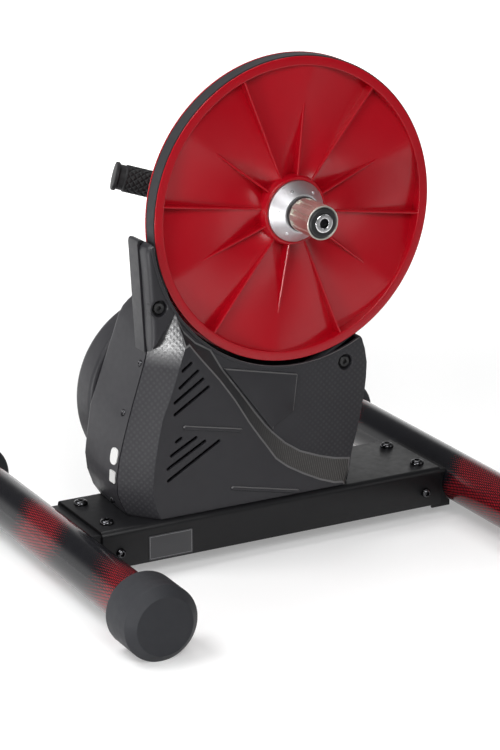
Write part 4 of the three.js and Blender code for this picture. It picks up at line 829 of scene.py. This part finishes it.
def disc_mesh():
    seat_front, seat_back = BELT.front - CLEAR, BELT.back + CLEAR
    rim = ring([
        (RIM.inner, RIM.front, 1.0), (RIM.radius, RIM.front, 1.0), (RIM.radius, seat_front, 0.3),
        (BELT.big_seat, seat_front), (BELT.big_seat, seat_back), (RIM.lip, seat_back, 0.4),
        (RIM.lip, RIM.back, 0.8), (RIM.inner, RIM.back, 0.8)], count=192)
    flange_bore, body_bore = FLANGE.radius + CLEAR, HUB_BODY.radius + CLEAR
    collar = ring([
        (flange_bore, RIM.hub_front, 0.5), (RIM.hub_radius, RIM.hub_front, 1.0),
        (RIM.hub_root, RIM.seat, 1.0), (RIM.hub_root, RIM.hub_back, 0.8), (body_bore, RIM.hub_back, 0.5),
        (body_bore, RIM.seat), (flange_bore, RIM.seat)])
    bodies = [web_body(), rim, collar]
    shares = [k / 12 for k in range(13)]
    short = (RIM.short_end - WEB_INNER) / (WEB_OUTER - WEB_INNER)
    for i in range(RIM.lobes):
        turn = RIM.first_turn + i / RIM.lobes
        bodies.append(rib(turn, [(
            along_radius(s), between(RIM.rib_hub_front, RIM.rib_front, s), web_depth(s, 0) + RIM.rib_sunk)
            for s in shares]))
        bodies.append(rib(turn + 0.5 / RIM.lobes, [(
            along_radius(short * s), between(RIM.short_front, web_depth(short, 1), s),
            web_depth(short * s, 1) + RIM.rib_sunk) for s in shares]))
    return merged(*bodies)


show("disc_detail", disc_mesh(), disc_red, DISC, "disc_red", "large_pulley")
flange = ring([
    (HUB_BODY.bore, FLANGE.cone_front, 0.3), (FLANGE.cone, FLANGE.cone_front, 0.8),
    (FLANGE.radius, FLANGE.front, 0.8), (FLANGE.radius, RIM.seat - CLEAR),
    (HUB_BODY.radius, RIM.seat - CLEAR), (HUB_BODY.radius, HUB_BODY.back, 0.6),
    (HUB_BODY.bore, HUB_BODY.back, 0.4)], count=160)
show("flange_detail", flange, flange_metal, DISC, "flange_alloy", "hub_flange")

SCREW = Sizes(count=6, ring=23.5, first_turn=51.8 / 360, radius=1.7, height=0.6, hex=0.85, socket=-0.3,
              end=-2.5)
screw_profile = [*hex_socket(SCREW.hex, SCREW.socket, SCREW.height), (SCREW.radius - 0.2, SCREW.height),
                 *shank(SCREW.radius, SCREW.height - 0.3, SCREW.end)]
cone_share = (SCREW.ring - FLANGE.cone) / (FLANGE.radius - FLANGE.cone)
for i in range(SCREW.count):
    angle = TURN * (SCREW.first_turn + i / SCREW.count)
    x, z = around(WHEEL, SCREW.ring, angle)
    place = (x, between(FLANGE.cone_front, FLANGE.front, cone_share), z)
    outward = Vector((math.cos(angle), -1, math.sin(angle))).normalized()
    show(f"flange_screw_{i + 1}", turned_along(screw_profile, place, outward, 24), bright_steel, DISC,
         "zinc_steel")

# Freehub
FREEHUB = Sizes(radius=16.7, front=-89.6, foot=-53.6, tail=-44, tail_radius=13, tail_bore=8.5, bore=15,
                bore_back=-74.3, rim=1.6, corner=0.4, splines=9, depth=1.5, share=0.42, flank=0.03, count=216)


def freehub_mesh():
    """The splined body: an outline of ridges and grooves drawn out, between two plain round ends."""
    radius, corner, front, foot = FREEHUB.radius, FREEHUB.corner, FREEHUB.front, FREEHUB.foot
    spline_front, spline_foot = front + FREEHUB.rim, foot - FREEHUB.rim
    profile = [
        (FREEHUB.bore, front + corner, 0), (FREEHUB.bore + corner, front, 0), (radius - corner, front, 0),
        (radius, front + corner, 0), (radius, spline_front, 0), (radius, spline_front + corner, 1),
        (radius, spline_foot - corner, 1), (radius, spline_foot, 0), (radius, foot - corner, 0),
        (radius - corner, foot, 0), (FREEHUB.tail_radius, foot, 0), (FREEHUB.tail_radius, FREEHUB.tail, 0),
        (FREEHUB.tail_bore, FREEHUB.tail, 0), (FREEHUB.tail_bore, FREEHUB.bore_back, 0),
        (FREEHUB.bore, FREEHUB.bore_back, 0)]
    pitch = TURN / FREEHUB.splines
    rows = []
    for reach, y, splined in profile:
        row = []
        for i in range(FREEHUB.count):
            angle = TURN * i / FREEHUB.count
            away = abs((angle + pitch / 2) % pitch - pitch / 2)
            groove = min(max((pitch * FREEHUB.share / 2 - away) / FREEHUB.flank + 0.5, 0), 1)
            x, z = around(WHEEL, reach - FREEHUB.depth * groove * splined, angle)
            row.append((x, y, z))
        rows.append(row)
    return skin(rows, closed=True)


show("freehub_detail", freehub_mesh(), freehub_metal, HUB, "freehub_alloy", "freehub_body")
FOOT_RING = Sizes(radius=17.3, front=-53.3, back=-50.3)
fit = FREEHUB.tail_radius + CLEAR
foot_ring = ring([(fit, FOOT_RING.front), (FOOT_RING.radius, FOOT_RING.front, 0.7),
                  (FOOT_RING.radius, FOOT_RING.back, 0.4), (fit, FOOT_RING.back)])
show("foot_ring_detail", foot_ring, ring_black, HUB, "ring_black", "freehub_foot_ring")
SEAL = Sizes(front=-91, back=-83.4, bevel=1.6)
fit, outer = END_CAP.radius + CLEAR, FREEHUB.bore - CLEAR
seal = ring([(fit, SEAL.front, 0.4), (outer - SEAL.bevel, SEAL.front, 0.6),
             (outer, SEAL.front + SEAL.bevel, 0.6), (outer, SEAL.back), (fit, SEAL.back)])
show("seal_detail", seal, ring_black, HUB, "ring_black", "freehub_seal")

# Belt: round the disc and round the small pulley
BELT_BIG, BELT_SMALL = BELT.big_seat + BELT.gap, BELT.small_seat + BELT.gap
apart = Vector(FLY) - Vector(WHEEL)
HEADING = math.atan2(apart.y, apart.x)
WRAP = math.acos((BELT_BIG - BELT_SMALL) / apart.length)


def belt_loop(offset, fine=160):
    """The belt's path, moved outward by an offset."""
    points = []
    for centre, radius, start, arc, steps in ((WHEEL, BELT_BIG, HEADING + WRAP, TURN - 2 * WRAP, fine),
                                              (FLY, BELT_SMALL, HEADING - WRAP, 2 * WRAP, 24)):
        points += [around(centre, radius + offset, start + arc * i / steps) for i in range(steps + 1)]
    return points


def belt_mesh():
    """A closed band with ribs along its inner face."""
    thick, front, back, edge, valley, crest = BELT.thickness, BELT.front, BELT.back, 0.4, 0.8, 0.1
    pitch = (back - front) / BELT.ribs
    section = [(thick, front + edge), (thick - edge, front), (valley, front)]
    for i in range(BELT.ribs):
        low = front + pitch * i
        section += [(crest, low + pitch * 0.3), (crest, low + pitch * 0.7), (valley, low + pitch)]
    section += [(thick - edge, back), (thick, back - edge)]
    return skin([[(x, y, z) for x, z in belt_loop(offset)] for offset, y in section], closed=True)


show("belt_detail", belt_mesh(), belt_rubber, STAND, "belt_rubber", "drive_belt")

# Housing: its outlines are shares of the front shell's width and height
SHELL = Sizes(left=-157, width=264, bottom=54.8, height=271, wall=2.6, seam=-20, fin=-38, panel=-48,
              collar=154, lip_width=3, lip_rise=1.2, seam_gap=0.6, right_draft=2, fin_round=5.0, crease=0.9,
              line=0.99)
FACET_SEAM, FACET_WALL = (0.126, 0.598), (0.114, 0.623)
FACET_APEX, PANEL_PEAK = (0.208, 0.739), (0.231, 0.625)
FIN_WALL = [(0.134, 1.003), (0.12, 0.999), (0.108, 0.989), (0.103, 0.972), (0.109, 0.9), (0.117, 0.753),
            (0.12, 0.66)]
SIDE_SEAM, SIDE_PANEL = zip(
    [(0.117, 0.562), (0.2, 0.54)], [(0.083, 0.463), (0.164, 0.443)], [(0.048, 0.357), (0.134, 0.374)],
    [(0.026, 0.285), (0.117, 0.302)], [(0.007, 0.213), (0.099, 0.211)], [(-0.005, 0.14), (0.091, 0.137)],
    [(-0.003, 0.082), (0.092, 0.08)], [(0.016, 0.033), (0.107, 0.032)], [(0.033, 0), (0.121, 0)])
BAND_UPPER, BAND_LOWER = zip(
    [(0.235, 0.677), (0.248, 0.633)], [(0.287, 0.625), (0.265, 0.61)], [(0.348, 0.59), (0.295, 0.572)],
    [(0.396, 0.509), (0.368, 0.486)], [(0.47, 0.411), (0.43, 0.401)], [(0.532, 0.325), (0.49, 0.305)],
    [(0.573, 0.273), (0.532, 0.245)], [(0.603, 0.241), (0.56, 0.208)], [(0.658, 0.19), (0.6, 0.152)],
    [(0.722, 0.148), (0.65, 0.112)], [(0.809, 0.114), (0.715, 0.075)], [(0.874, 0.095), (0.79, 0.038)],
    [(0.935, 0.085), (0.852, 0.016)], [(0.932, 0.04), (0.887, 0.012)], [(0.92, 0), (0.897, 0)])
RIGHT_SIDE = [
    (0.927, 0), (0.935, 0.037), (0.948, 0.114), (0.97, 0.189), (0.987, 0.264), (0.999, 0.32),
    (1.008, 0.385), (1.011, 0.446), (1.002, 0.501), (0.989, 0.541), (0.971, 0.563)]
CLOSING = [(0.7, 0.9), (0.2, 1.003)]
INSET_PANEL = [(0.4, 0.515), (0.709, 0.448), (0.692, 0.311), (0.607, 0.263), (0.603, 0.249)]
VENTS = [
    [(0.218, 0.542), (0.251, 0.565)], [(0.205, 0.481), (0.278, 0.533)], [(0.184, 0.429), (0.298, 0.5)],
    [(0.183, 0.385), (0.32, 0.467)], [(0.187, 0.283), (0.206, 0.293)], [(0.166, 0.234), (0.267, 0.286)],
    [(0.151, 0.187), (0.303, 0.267)], [(0.152, 0.142), (0.361, 0.258)]]
RIDGES = [[(0.222, 0.331), (0.448, 0.285)], [(0.417, 0.069), (0.688, 0.01)]]
POCKETS = [(0.148, 0.77), (0.918, 0.46)]
POCKET = Sizes(radius=7.8, wall=2.2, floor=-32, sheet=2.4, hole=3.3, bevel=0.7, flare=4.0)
VENT_WIDTH = 3.4
RIDGE = Sizes(width=4.4, rise=1.9)
INSET_RISE = 2.2
FACET_FACES, TOP_FACES, BAND_FACES, HIGHLIGHT_LINE_FACES = 1, 2, 3, 4


def from_shares(spot):
    return (SHELL.left + spot[0] * SHELL.width, SHELL.bottom + spot[1] * SHELL.height)


def outline_of(*shares):
    return [from_shares(spot) for spot in shares]


def inset(outline, distance, sharpest=0.4):
    """Moves each point of an outline inward. Repeated points move together."""
    count = len(outline)
    following = outline[1:] + outline[:1]
    area = sum(x * next_z - next_x * z for (x, z), (next_x, next_z) in zip(outline, following))
    side = math.copysign(1, area)

    def normal(a, b):
        length = math.dist(a, b)
        return (-side * (b[1] - a[1]) / length, side * (b[0] - a[0]) / length)

    moved = []
    for i, spot in enumerate(outline):
        before = after = i
        while math.dist(outline[before], spot) < 0.001:
            before = (before - 1) % count
        while math.dist(outline[after], spot) < 0.001:
            after = (after + 1) % count
        first, second = normal(outline[before], spot), normal(spot, outline[after])
        spread = max(1 + first[0] * second[0] + first[1] * second[1], sharpest)
        moved.append((spot[0] + distance * (first[0] + second[0]) / spread,
                      spot[1] + distance * (first[1] + second[1]) / spread))
    return moved


def front_solid(moved, dressed):
    """The whole outside of the front shell as one closed mesh, moved back by a distance. A dressed one
    has rounded edges and a material for each kind of face."""
    seam, fin, panel = SHELL.seam + moved, SHELL.fin + moved, SHELL.panel + moved
    bm = bmesh.new()
    face = bm.faces.new

    def spots(shares, y):
        return [bm.verts.new(mm(x, y, z)) for x, z in map(from_shares, shares)]

    def strip(first, second):
        return [face((a, b, d, c)) for a, b, c, d in zip(first, first[1:], second, second[1:])]

    wall_seam, wall_fin = spots(FIN_WALL, seam), spots(FIN_WALL, fin)
    (facet_seam,), (facet_wall,) = spots([FACET_SEAM], seam), spots([FACET_WALL], fin)
    (apex,), (peak,) = spots([FACET_APEX], fin), spots([PANEL_PEAK], panel)
    side_seam, side_panel = spots(SIDE_SEAM, seam), spots(SIDE_PANEL, panel)
    upper, lower = spots(BAND_UPPER, fin), spots(BAND_LOWER, panel)
    right_seam, right_fin = spots(RIGHT_SIDE + CLOSING, seam), spots(RIGHT_SIDE + CLOSING, fin)
    strip(wall_seam, wall_fin)
    face((wall_seam[-1], facet_seam, facet_wall, wall_fin[-1]))
    facet = [face((facet_seam, apex, facet_wall)), face((facet_seam, peak, apex)),
             face((facet_seam, side_seam[0], side_panel[0], peak)), *strip(side_seam, side_panel)]
    band = [face((apex, peak, lower[0], upper[0])), *strip(upper, lower)]
    face((peak, *side_panel, *lower[::-1]))
    top = face((*wall_fin, facet_wall, apex, *upper, *right_fin))
    face((side_seam[-1], right_seam[0], right_fin[0], upper[-1], lower[-1], side_panel[-1]))
    strip(right_seam, right_fin)
    face((right_seam[-1], wall_seam[0], wall_fin[0], right_fin[-1]))
    face((*wall_seam, facet_seam, *side_seam, *right_seam))
    bmesh.ops.recalc_face_normals(bm, faces=bm.faces)
    if not dressed:
        return bm
    for parts, index in ((facet, FACET_FACES), ([top], TOP_FACES), (band, BAND_FACES)):
        for part in parts:
            part.material_index = index
    chain = [right_fin[-1], *wall_fin, facet_wall]
    rounded(bm, [bm.edges.get(pair) for pair in zip(chain, chain[1:])], SHELL.fin_round, 6)
    shortest = 2.5 * SHELL.crease
    # The band's edges are rounded into faces that carry the painted highlight.
    lines = []
    for edge in bm.edges:
        beside = {part.material_index for part in edge.link_faces}
        if BAND_FACES in beside and len(beside) == 2 and edge.calc_length() >= shortest * MM:
            lines.append(edge)
    rounded(bm, lines, SHELL.line, 2, HIGHLIGHT_LINE_FACES)
    rounded(bm, sharp_edges(bm, 30, shortest), SHELL.crease)
    return bm


seam_outline = outline_of(*FIN_WALL, FACET_SEAM, *SIDE_SEAM, *RIGHT_SIDE, *CLOSING)
fin_outline = outline_of(*FIN_WALL, FACET_WALL, FACET_APEX, *BAND_UPPER, *RIGHT_SIDE, *CLOSING)
OUTSIDE, INSIDE = SHELL.panel - OVER, SHELL.seam + OVER
hollow = scratch(front_solid(SHELL.wall, dressed=False))
combine(hollow, "INTERSECT", [slab(inset(seam_outline, SHELL.wall), OUTSIDE, INSIDE)])
lip_top, lip_root = SHELL.fin - SHELL.lip_rise, SHELL.fin + SHELL.wall * 0.8
lip_outer = SHELL.collar + SHELL.lip_width
lip = scratch(ring([(SHELL.collar, lip_top, 0.5), (lip_outer, lip_top, 0.6), (lip_outer, lip_root),
                    (SHELL.collar, lip_root)], count=192))
combine(lip, "INTERSECT", [slab(inset(fin_outline, 1.2), OUTSIDE, lip_root)])

front = scratch(front_solid(0, dressed=True))
for _ in range(HIGHLIGHT_LINE_FACES + 1):
    front.data.materials.append(None)
cut(front, hollow)
join(front, lip,
     slab(outline_of(*INSET_PANEL), SHELL.fin - INSET_RISE, SHELL.fin + SHELL.wall / 2, 1.0, 2),
     *[slab(capsule(*outline_of(*ends), RIDGE.width / 2), SHELL.panel - RIDGE.rise,
            SHELL.panel + SHELL.wall / 2, 1.5, 4) for ends in RIDGES],
     *[rod(POCKET.radius + POCKET.wall, SHELL.fin + 0.01, POCKET.floor + POCKET.sheet, from_shares(spot))
       for spot in POCKETS])
cut(front, rod(SHELL.collar, OUTSIDE, INSIDE, WHEEL, 192))
for spot in POCKETS:
    cut(front, solid([
        (0, OUTSIDE), (POCKET.radius + POCKET.flare, OUTSIDE),
        (POCKET.radius + POCKET.bevel, SHELL.fin - 0.01, 0.4), (POCKET.radius, SHELL.fin + 0.8, 0.3),
        (POCKET.radius, POCKET.floor), (POCKET.hole, POCKET.floor),
        (POCKET.hole, INSIDE), (0, INSIDE)], from_shares(spot), 64))
cut(front, *[slab(capsule(*outline_of(*ends), VENT_WIDTH / 2), OUTSIDE, SHELL.panel + 2 * SHELL.wall)
             for ends in VENTS])
# The sides of raised parts that face up, and those at the inset panel's level that face right, carry the
# painted highlight too.
for polygon in front.data.polygons:
    depth, normal = polygon.center.y / MM, polygon.normal
    raised = min(abs(depth - plane + INSET_RISE / 2 + 0.05) for plane in (SHELL.fin, SHELL.panel))
    outward = normal.z > 0.25 or normal.x > 0.3 and depth > SHELL.fin - INSET_RISE
    if raised < INSET_RISE / 2 and outward and abs(normal.y) < 0.97:
        polygon.material_index = HIGHLIGHT_LINE_FACES
show("front_shell_detail", taken(front), [housing, facet_weave, panel_weave, band_ribs_and_sheen, painted_edge_highlight], STAND,
     "housing", "front_shell")

# Shell bolts: socket heads down in their pockets
SHELL_BOLT = Sizes(radius=5.5, front=-36.2, shank=3, end=-10, hex=2.6, socket=2.6)
for name, spot in zip(("upper", "right"), POCKETS):
    radius, face, seat = SHELL_BOLT.radius, SHELL_BOLT.front, POCKET.floor - CLEAR
    bolt = lathe([
        *hex_socket(SHELL_BOLT.hex, face + SHELL_BOLT.socket, face + 0.3), (SHELL_BOLT.hex + 0.4, face),
        (radius - 0.6, face), (radius, face + 0.6), (radius, seat),
        *shank(SHELL_BOLT.shank, seat, SHELL_BOLT.end)], from_shares(spot), 48, closed=False)
    show(f"shell_bolt_{name}_detail", bolt, pocket_black, STAND, "bolt_black", f"shell_bolt_{name}")

# Rear shell
REAR = Sizes(back=55, back_round=7.5, fin_back=4, fin_round=5.0, plate_front=-12, plate_sheet=2.6,
             plate_radius=156, shaft_hole=13, upright_gap=3, foot_gap=4, belt_gap=2, seam_shadow=1.0,
             post=5, post_front=-26, hole=(-28, -8))
REAR_NEAR, REAR_FAR = zip(
    [(0.2, 0.742), (0.208, 0.742)], [(0.178, 0.72), (0.178, 0.72)], [(0.155, 0.68), (0.157, 0.702)],
    [(0.126, 0.598), (0.14, 0.678)], [(0.105, 0.527), (0.11, 0.599)], [(0.083, 0.463), (0.076, 0.512)],
    [(0.048, 0.357), (0.042, 0.423)], [(0.026, 0.285), (0.013, 0.348)], [(0.007, 0.213), (-0.006, 0.224)],
    [(-0.005, 0.14), (-0.013, 0.167)], [(-0.003, 0.082), (-0.007, 0.108)], [(0.016, 0.033), (0.016, 0.043)],
    [(0.033, 0), (0.045, 0)])
REAR_TOP = [(1.004, 0.6), (0.965, 0.78), (0.9, 0.83), (0.36, 0.83), (0.25, 0.785)]
REAR_FIN = [
    (0.2, 0.6), (0.176, 0.753), (0.175, 0.962), (0.168, 0.976), (0.118, 1.004), (0.108, 1.006),
    (0.101, 1.001), (0.098, 0.99), (0.103, 0.905), (0.111, 0.753), (0.117, 0.642), (0.119, 0.595)]
BOARD = Sizes(left=10, right=86, bottom=86, top=156, back=46, post=3, inset=8)
INLET = Sizes(place=(72, 76), radius=6, front=44, back=56.2, bore=2.5, bore_depth=9)
WINDOW = Sizes(front=-15.4, back=-1, top_x=-154.4, top=121, bottom_x=-157.6, bottom=105, depth=4)
COVER = Sizes(front=-15.4, back=-3.5, top_x=-158.4, top=99, bottom_x=-159.1, bottom=87, depth=4)
SIDE_SCREW = Sizes(radius=3.2, length=13, proud=1.2, shank=2, head=4.5, hex=1.2, socket=0.7,
                   curve=((2.3, 0.15), (2.9, 0.5), (3.2, 1.1)))
SIDE_SCREWS = {"upper": (-127.8, -12, 204), "middle": (-144, -7, 155), "lower": (-152.4, 5, 63)}
DRUM = Sizes(radius=99, front=55.3, back=92, wall=2.6, lip=86, lip_sheet=2)


def side_plate(place, grow, depth, shift, corner):
    """A plate in the rear shell's leaning left side, from a shift in front of it to a depth in it."""
    front, back, bottom, top = place.front - grow, place.back + grow, place.bottom - grow, place.top + grow
    corners = [(front, bottom, corner), (back, bottom, corner), (back, top, corner), (front, top, corner)]
    outline = fillet(corners, 8)
    lean = (place.top_x - place.bottom_x) / (place.top - place.bottom)
    return skin([[(place.bottom_x + lean * (z - place.bottom) + inward, y, z) for y, z in outline]
                 for inward in (-shift, depth)])


def back_rounded(bm, y, radius, segments):
    """Rounds the edges of a body's back face."""
    bmesh.ops.recalc_face_normals(bm, faces=bm.faces)
    edges = [e for e in bm.edges if all(abs(v.co.y - y * MM) < 1e-6 for v in e.verts)]
    rounded(bm, edges, radius, segments)
    return bm


wall = SHELL.wall
rear_seam = SHELL.seam + SHELL.seam_gap + REAR.seam_shadow
rear_shared = [*[(x + SHELL.right_draft, z) for x, z in outline_of(*RIGHT_SIDE)], *outline_of(*REAR_TOP)]
rear_near, rear_far = outline_of(*REAR_NEAR) + rear_shared, outline_of(*REAR_FAR) + rear_shared
rear_fin = outline_of(*REAR_FIN)
rear = scratch(back_rounded(loft(rear_near, rear_seam, rear_far, REAR.back), REAR.back, REAR.back_round, 6))
join(rear, back_rounded(slab(rear_fin, rear_seam, REAR.fin_back), REAR.fin_back, REAR.fin_round, 5))
space = scratch(loft(inset(rear_near, wall), rear_seam - OVER, inset(rear_far, wall), REAR.back - wall))
join(space, slab(inset(rear_fin, wall), rear_seam - OVER, REAR.fin_back - wall))
cut(space, rod(REAR.plate_radius, REAR.plate_front, REAR.plate_front + REAR.plate_sheet, WHEEL, 192))
cut(rear, space,
    rod(SHELL.collar, rear_seam - OVER, REAR.plate_front, WHEEL, 192),
    slab(belt_loop(BELT.thickness + REAR.belt_gap, 96), rear_seam - OVER, REAR.plate_front))
for spot, back in zip(POCKETS, (REAR.fin_back, REAR.back)):
    join(rear, rod(REAR.post, REAR.post_front, back - wall / 2, from_shares(spot), 32))
    cut(rear, rod(POCKET.hole, *REAR.hole, from_shares(spot), 32))
for place in ((BOARD.left + BOARD.inset, BOARD.bottom + BOARD.inset),
              (BOARD.right - BOARD.inset, BOARD.top - BOARD.inset)):
    join(rear, rod(BOARD.post, BOARD.back + CLEAR, REAR.back - wall / 2, place, 24))
tub_top = from_shares(REAR_TOP[2])[1]
cut(rear,
    rod(REAR.shaft_hole, REAR.fin_back, REAR.back + OVER, FLY),
    block(UPRIGHT.foot_left - REAR.foot_gap, UPRIGHT.foot_right + REAR.foot_gap,
          UPRIGHT.foot_front - REAR.foot_gap, UPRIGHT.foot_back + REAR.foot_gap,
          SHELL.bottom - OVER, SHELL.bottom + wall + OVER),
    block(WEB[5][0] - REAR.upright_gap, WEB[3][0] + 2 * REAR.upright_gap, UPRIGHT.front - REAR.upright_gap,
          UPRIGHT.back + REAR.upright_gap, tub_top - wall - OVER, tub_top + OVER),
    rod(INLET.radius + CLEAR, REAR.back - wall - OVER, REAR.back + OVER, INLET.place, 48),
    side_plate(WINDOW, CLEAR, WINDOW.depth + OVER, OVER, 7.0),
    side_plate(COVER, CLEAR, COVER.depth + OVER, OVER, 2.5))
for name, place in SIDE_SCREWS.items():
    reach, length, start = SIDE_SCREW.radius + CLEAR, SIDE_SCREW.length, -SIDE_SCREW.proud
    hole = [(0, -length), (reach, -length), (reach, 2 * length), (0, 2 * length)]
    cut(rear, turned_along(hole, place, (1, 0, 0), 32))
    head_end = start + SIDE_SCREW.head
    screw = [*hex_socket(SIDE_SCREW.hex, start + SIDE_SCREW.socket, start),
             *[(radius, start + drop) for radius, drop in SIDE_SCREW.curve], (SIDE_SCREW.radius, head_end),
             *shank(SIDE_SCREW.shank, head_end, start + length)]
    show(f"side_screw_{name}_detail", turned_along(screw, place, (1, 0, 0), 36), bolt_black, STAND,
         "bolt_black", f"side_screw_{name}")
show("rear_shell_detail", taken(rear), housing, STAND, "housing", "rear_shell")
show("window_detail", side_plate(WINDOW, 0, WINDOW.depth, 0, 6.8), window_white, STAND, "window_white",
     "status_window")
show("port_cover_detail", side_plate(COVER, 0, COVER.depth, 0, 2.2), cover_white, STAND, "cover_white",
     "port_cover")

# Flywheel cover and power inlet
drum_inner, drum_lip = DRUM.radius - DRUM.wall, DRUM.front + DRUM.lip_sheet
drum = solid([
    (0, DRUM.back), (DRUM.radius, DRUM.back, 9), (DRUM.radius, DRUM.front, 7), (DRUM.lip, DRUM.front, 0.5),
    (DRUM.lip, drum_lip, 0.5), (drum_inner, drum_lip, 4), (drum_inner, DRUM.back - DRUM.wall, 6.5),
    (0, DRUM.back - DRUM.wall)], FLY, 160, 8)
show("drum_detail", drum, housing, STAND, "housing", "flywheel_cover")
bore_end = INLET.back - INLET.bore_depth
inlet = solid([
    (0, INLET.front), (INLET.radius, INLET.front, 0.4), (INLET.radius, INLET.back, 0.5),
    (INLET.bore, INLET.back, 0.3), (INLET.bore, bore_end), (0, bore_end)], INLET.place, 48)
show("inlet_detail", inlet, inlet_black, STAND, "inlet_black", "power_inlet")

# Materials of the CAD nodes that stay
CARRIED = {
    zinc: ("hub_bearing_front", "hub_bearing_back", "freehub_bearing", "flywheel_shaft",
           "shaft_bearing_front", "shaft_bearing_back", "tensioner_arm", "tensioner_pin", "small_pulley"),
    idler_black: ("tensioner_wheel",),
    bolt_black: ("tensioner_pivot_bolt",),
    iron: ("flywheel", "brake_core"),
    copper: ("brake_coil_1", "brake_coil_2", "brake_coil_3"),
    board: ("control_board",),
}
for material, names in CARRIED.items():
    for name in names:
        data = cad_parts[name].data
        data.materials.clear()
        data.materials.append(material)


# Lamps, in metres and watts
def area_light(name, place, height, size, power, target=(0, 0), wide=None):
    data = bpy.data.lights.new(name, "AREA")
    data.shape = "RECTANGLE" if wide else "DISK"
    data.size = wide or size
    data.size_y = size
    data.energy = power
    lamp = add_object(name, data)
    lamp.location = place
    lamp.rotation_euler = (Vector((*target, height)) - Vector(place)).to_track_quat("-Z", "Y").to_euler()


area_light("key", (-1.5, 0.3, 2.6), 0.25, 1.5, 52)
area_light("left", (-1.9, -1.7, 2.0), 0.25, 1.2, 9)
area_light("strip", (-1.2, -0.5, 0.15), 0.24, 0.13, 5.2, target=(-0.1, -0.04), wide=0.33)
area_light("front", (-0.7, -2.7, 2.2), 0.25, 1.6, 48)
area_light("top", (0.5, 1.0, 2.8), 0.2, 1.6, 22)
area_light("fill", (2.2, -1.9, 1.4), 0.25, 1.4, 8)

# The backdrop is white behind the object and above it, and the studio is dim on the camera's side
BACKDROP = Sizes(side=(-0.45, 0.89, 0), dim=0.12, white=1.0, low=0.12, high=0.5, diffuse_share=0.8,
                 facing=(-0.75, 0.35))
FLOOR = Sizes(reach=9, colour=0.72, dim=0.3, glow=0.3, near=0.55, far=1.7, front=0.6, front_end=1.05,
              bounce=0.42)


def stage_nodes(owner):
    owner.use_nodes = True
    owner.node_tree.nodes.clear()
    return Nodes(owner.node_tree)


def ray_kinds(kit):
    """One for rays from the camera, and one for those, for reflections and for what shows through glass."""
    kinds = kit.add("LightPath")
    others = kit.math("MAXIMUM", kinds["Is Glossy Ray"], kinds["Is Transmission Ray"])
    return kinds["Is Camera Ray"], kit.math("MAXIMUM", kinds["Is Camera Ray"], others)


world = bpy.data.worlds.new("studio")
scene.world = world
kit = stage_nodes(world)
direction = kit.add("TexCoord")["Generated"]
side = Vector(BACKDROP.side).normalized()
facing = kit.add("VectorMath", {0: direction, 1: side}, operation="DOT_PRODUCT")["Value"]
behind = kit.ease(facing, 0, 1, *BACKDROP.facing)
below = kit.ease(kit.axes(direction)[2], 1, 0, BACKDROP.low, BACKDROP.high)
level = kit.ease(kit.times(behind, below), BACKDROP.dim, BACKDROP.white)
from_camera, seen = ray_kinds(kit)
share = kit.ease(seen, BACKDROP.diffuse_share, 1)
strength = kit.math("MAXIMUM", from_camera, kit.times(level, share))
glow = kit.add("Background", {"Color": (1, 1, 1, 1), "Strength": strength})[0]
kit.add("OutputWorld", {"Surface": glow})

reach = FLOOR.reach
floor_mesh = bpy.data.meshes.new("floor")
floor_mesh.from_pydata([(-reach, -reach, 0), (reach, -reach, 0), (reach, reach, 0), (-reach, reach, 0)], [],
                       [(0, 1, 2, 3)])
floor = add_object("floor", floor_mesh)
floor_material = bpy.data.materials.new("floor")
floor_mesh.materials.append(floor_material)
kit = stage_nodes(floor_material)
place = kit.add("TexCoord")["Object"]
away = kit.add("VectorMath", {0: place}, operation="LENGTH")["Value"]
from_camera, seen = ray_kinds(kit)
front = kit.math("MAXIMUM", from_camera, kit.ease(kit.axes(place)[1], 0, 1, -FLOOR.front_end, -FLOOR.front))
spread = kit.ease(away, FLOOR.glow, 1, FLOOR.near, FLOOR.far)
lit = kit.add("BsdfDiffuse", {"Color": kit.ease(front, FLOOR.dim, FLOOR.colour)})[0]
emit = kit.add("Emission", {"Strength": kit.times(spread, front)})[0]
shown = kit.add("AddShader", {0: lit, 1: emit})[0]
bounce = kit.add("BsdfDiffuse", {"Color": (FLOOR.bounce,) * 3 + (1,)})[0]
kit.add("OutputMaterial", {"Surface": kit.add("MixShader", {0: seen, 1: bounce, 2: shown})[0]})
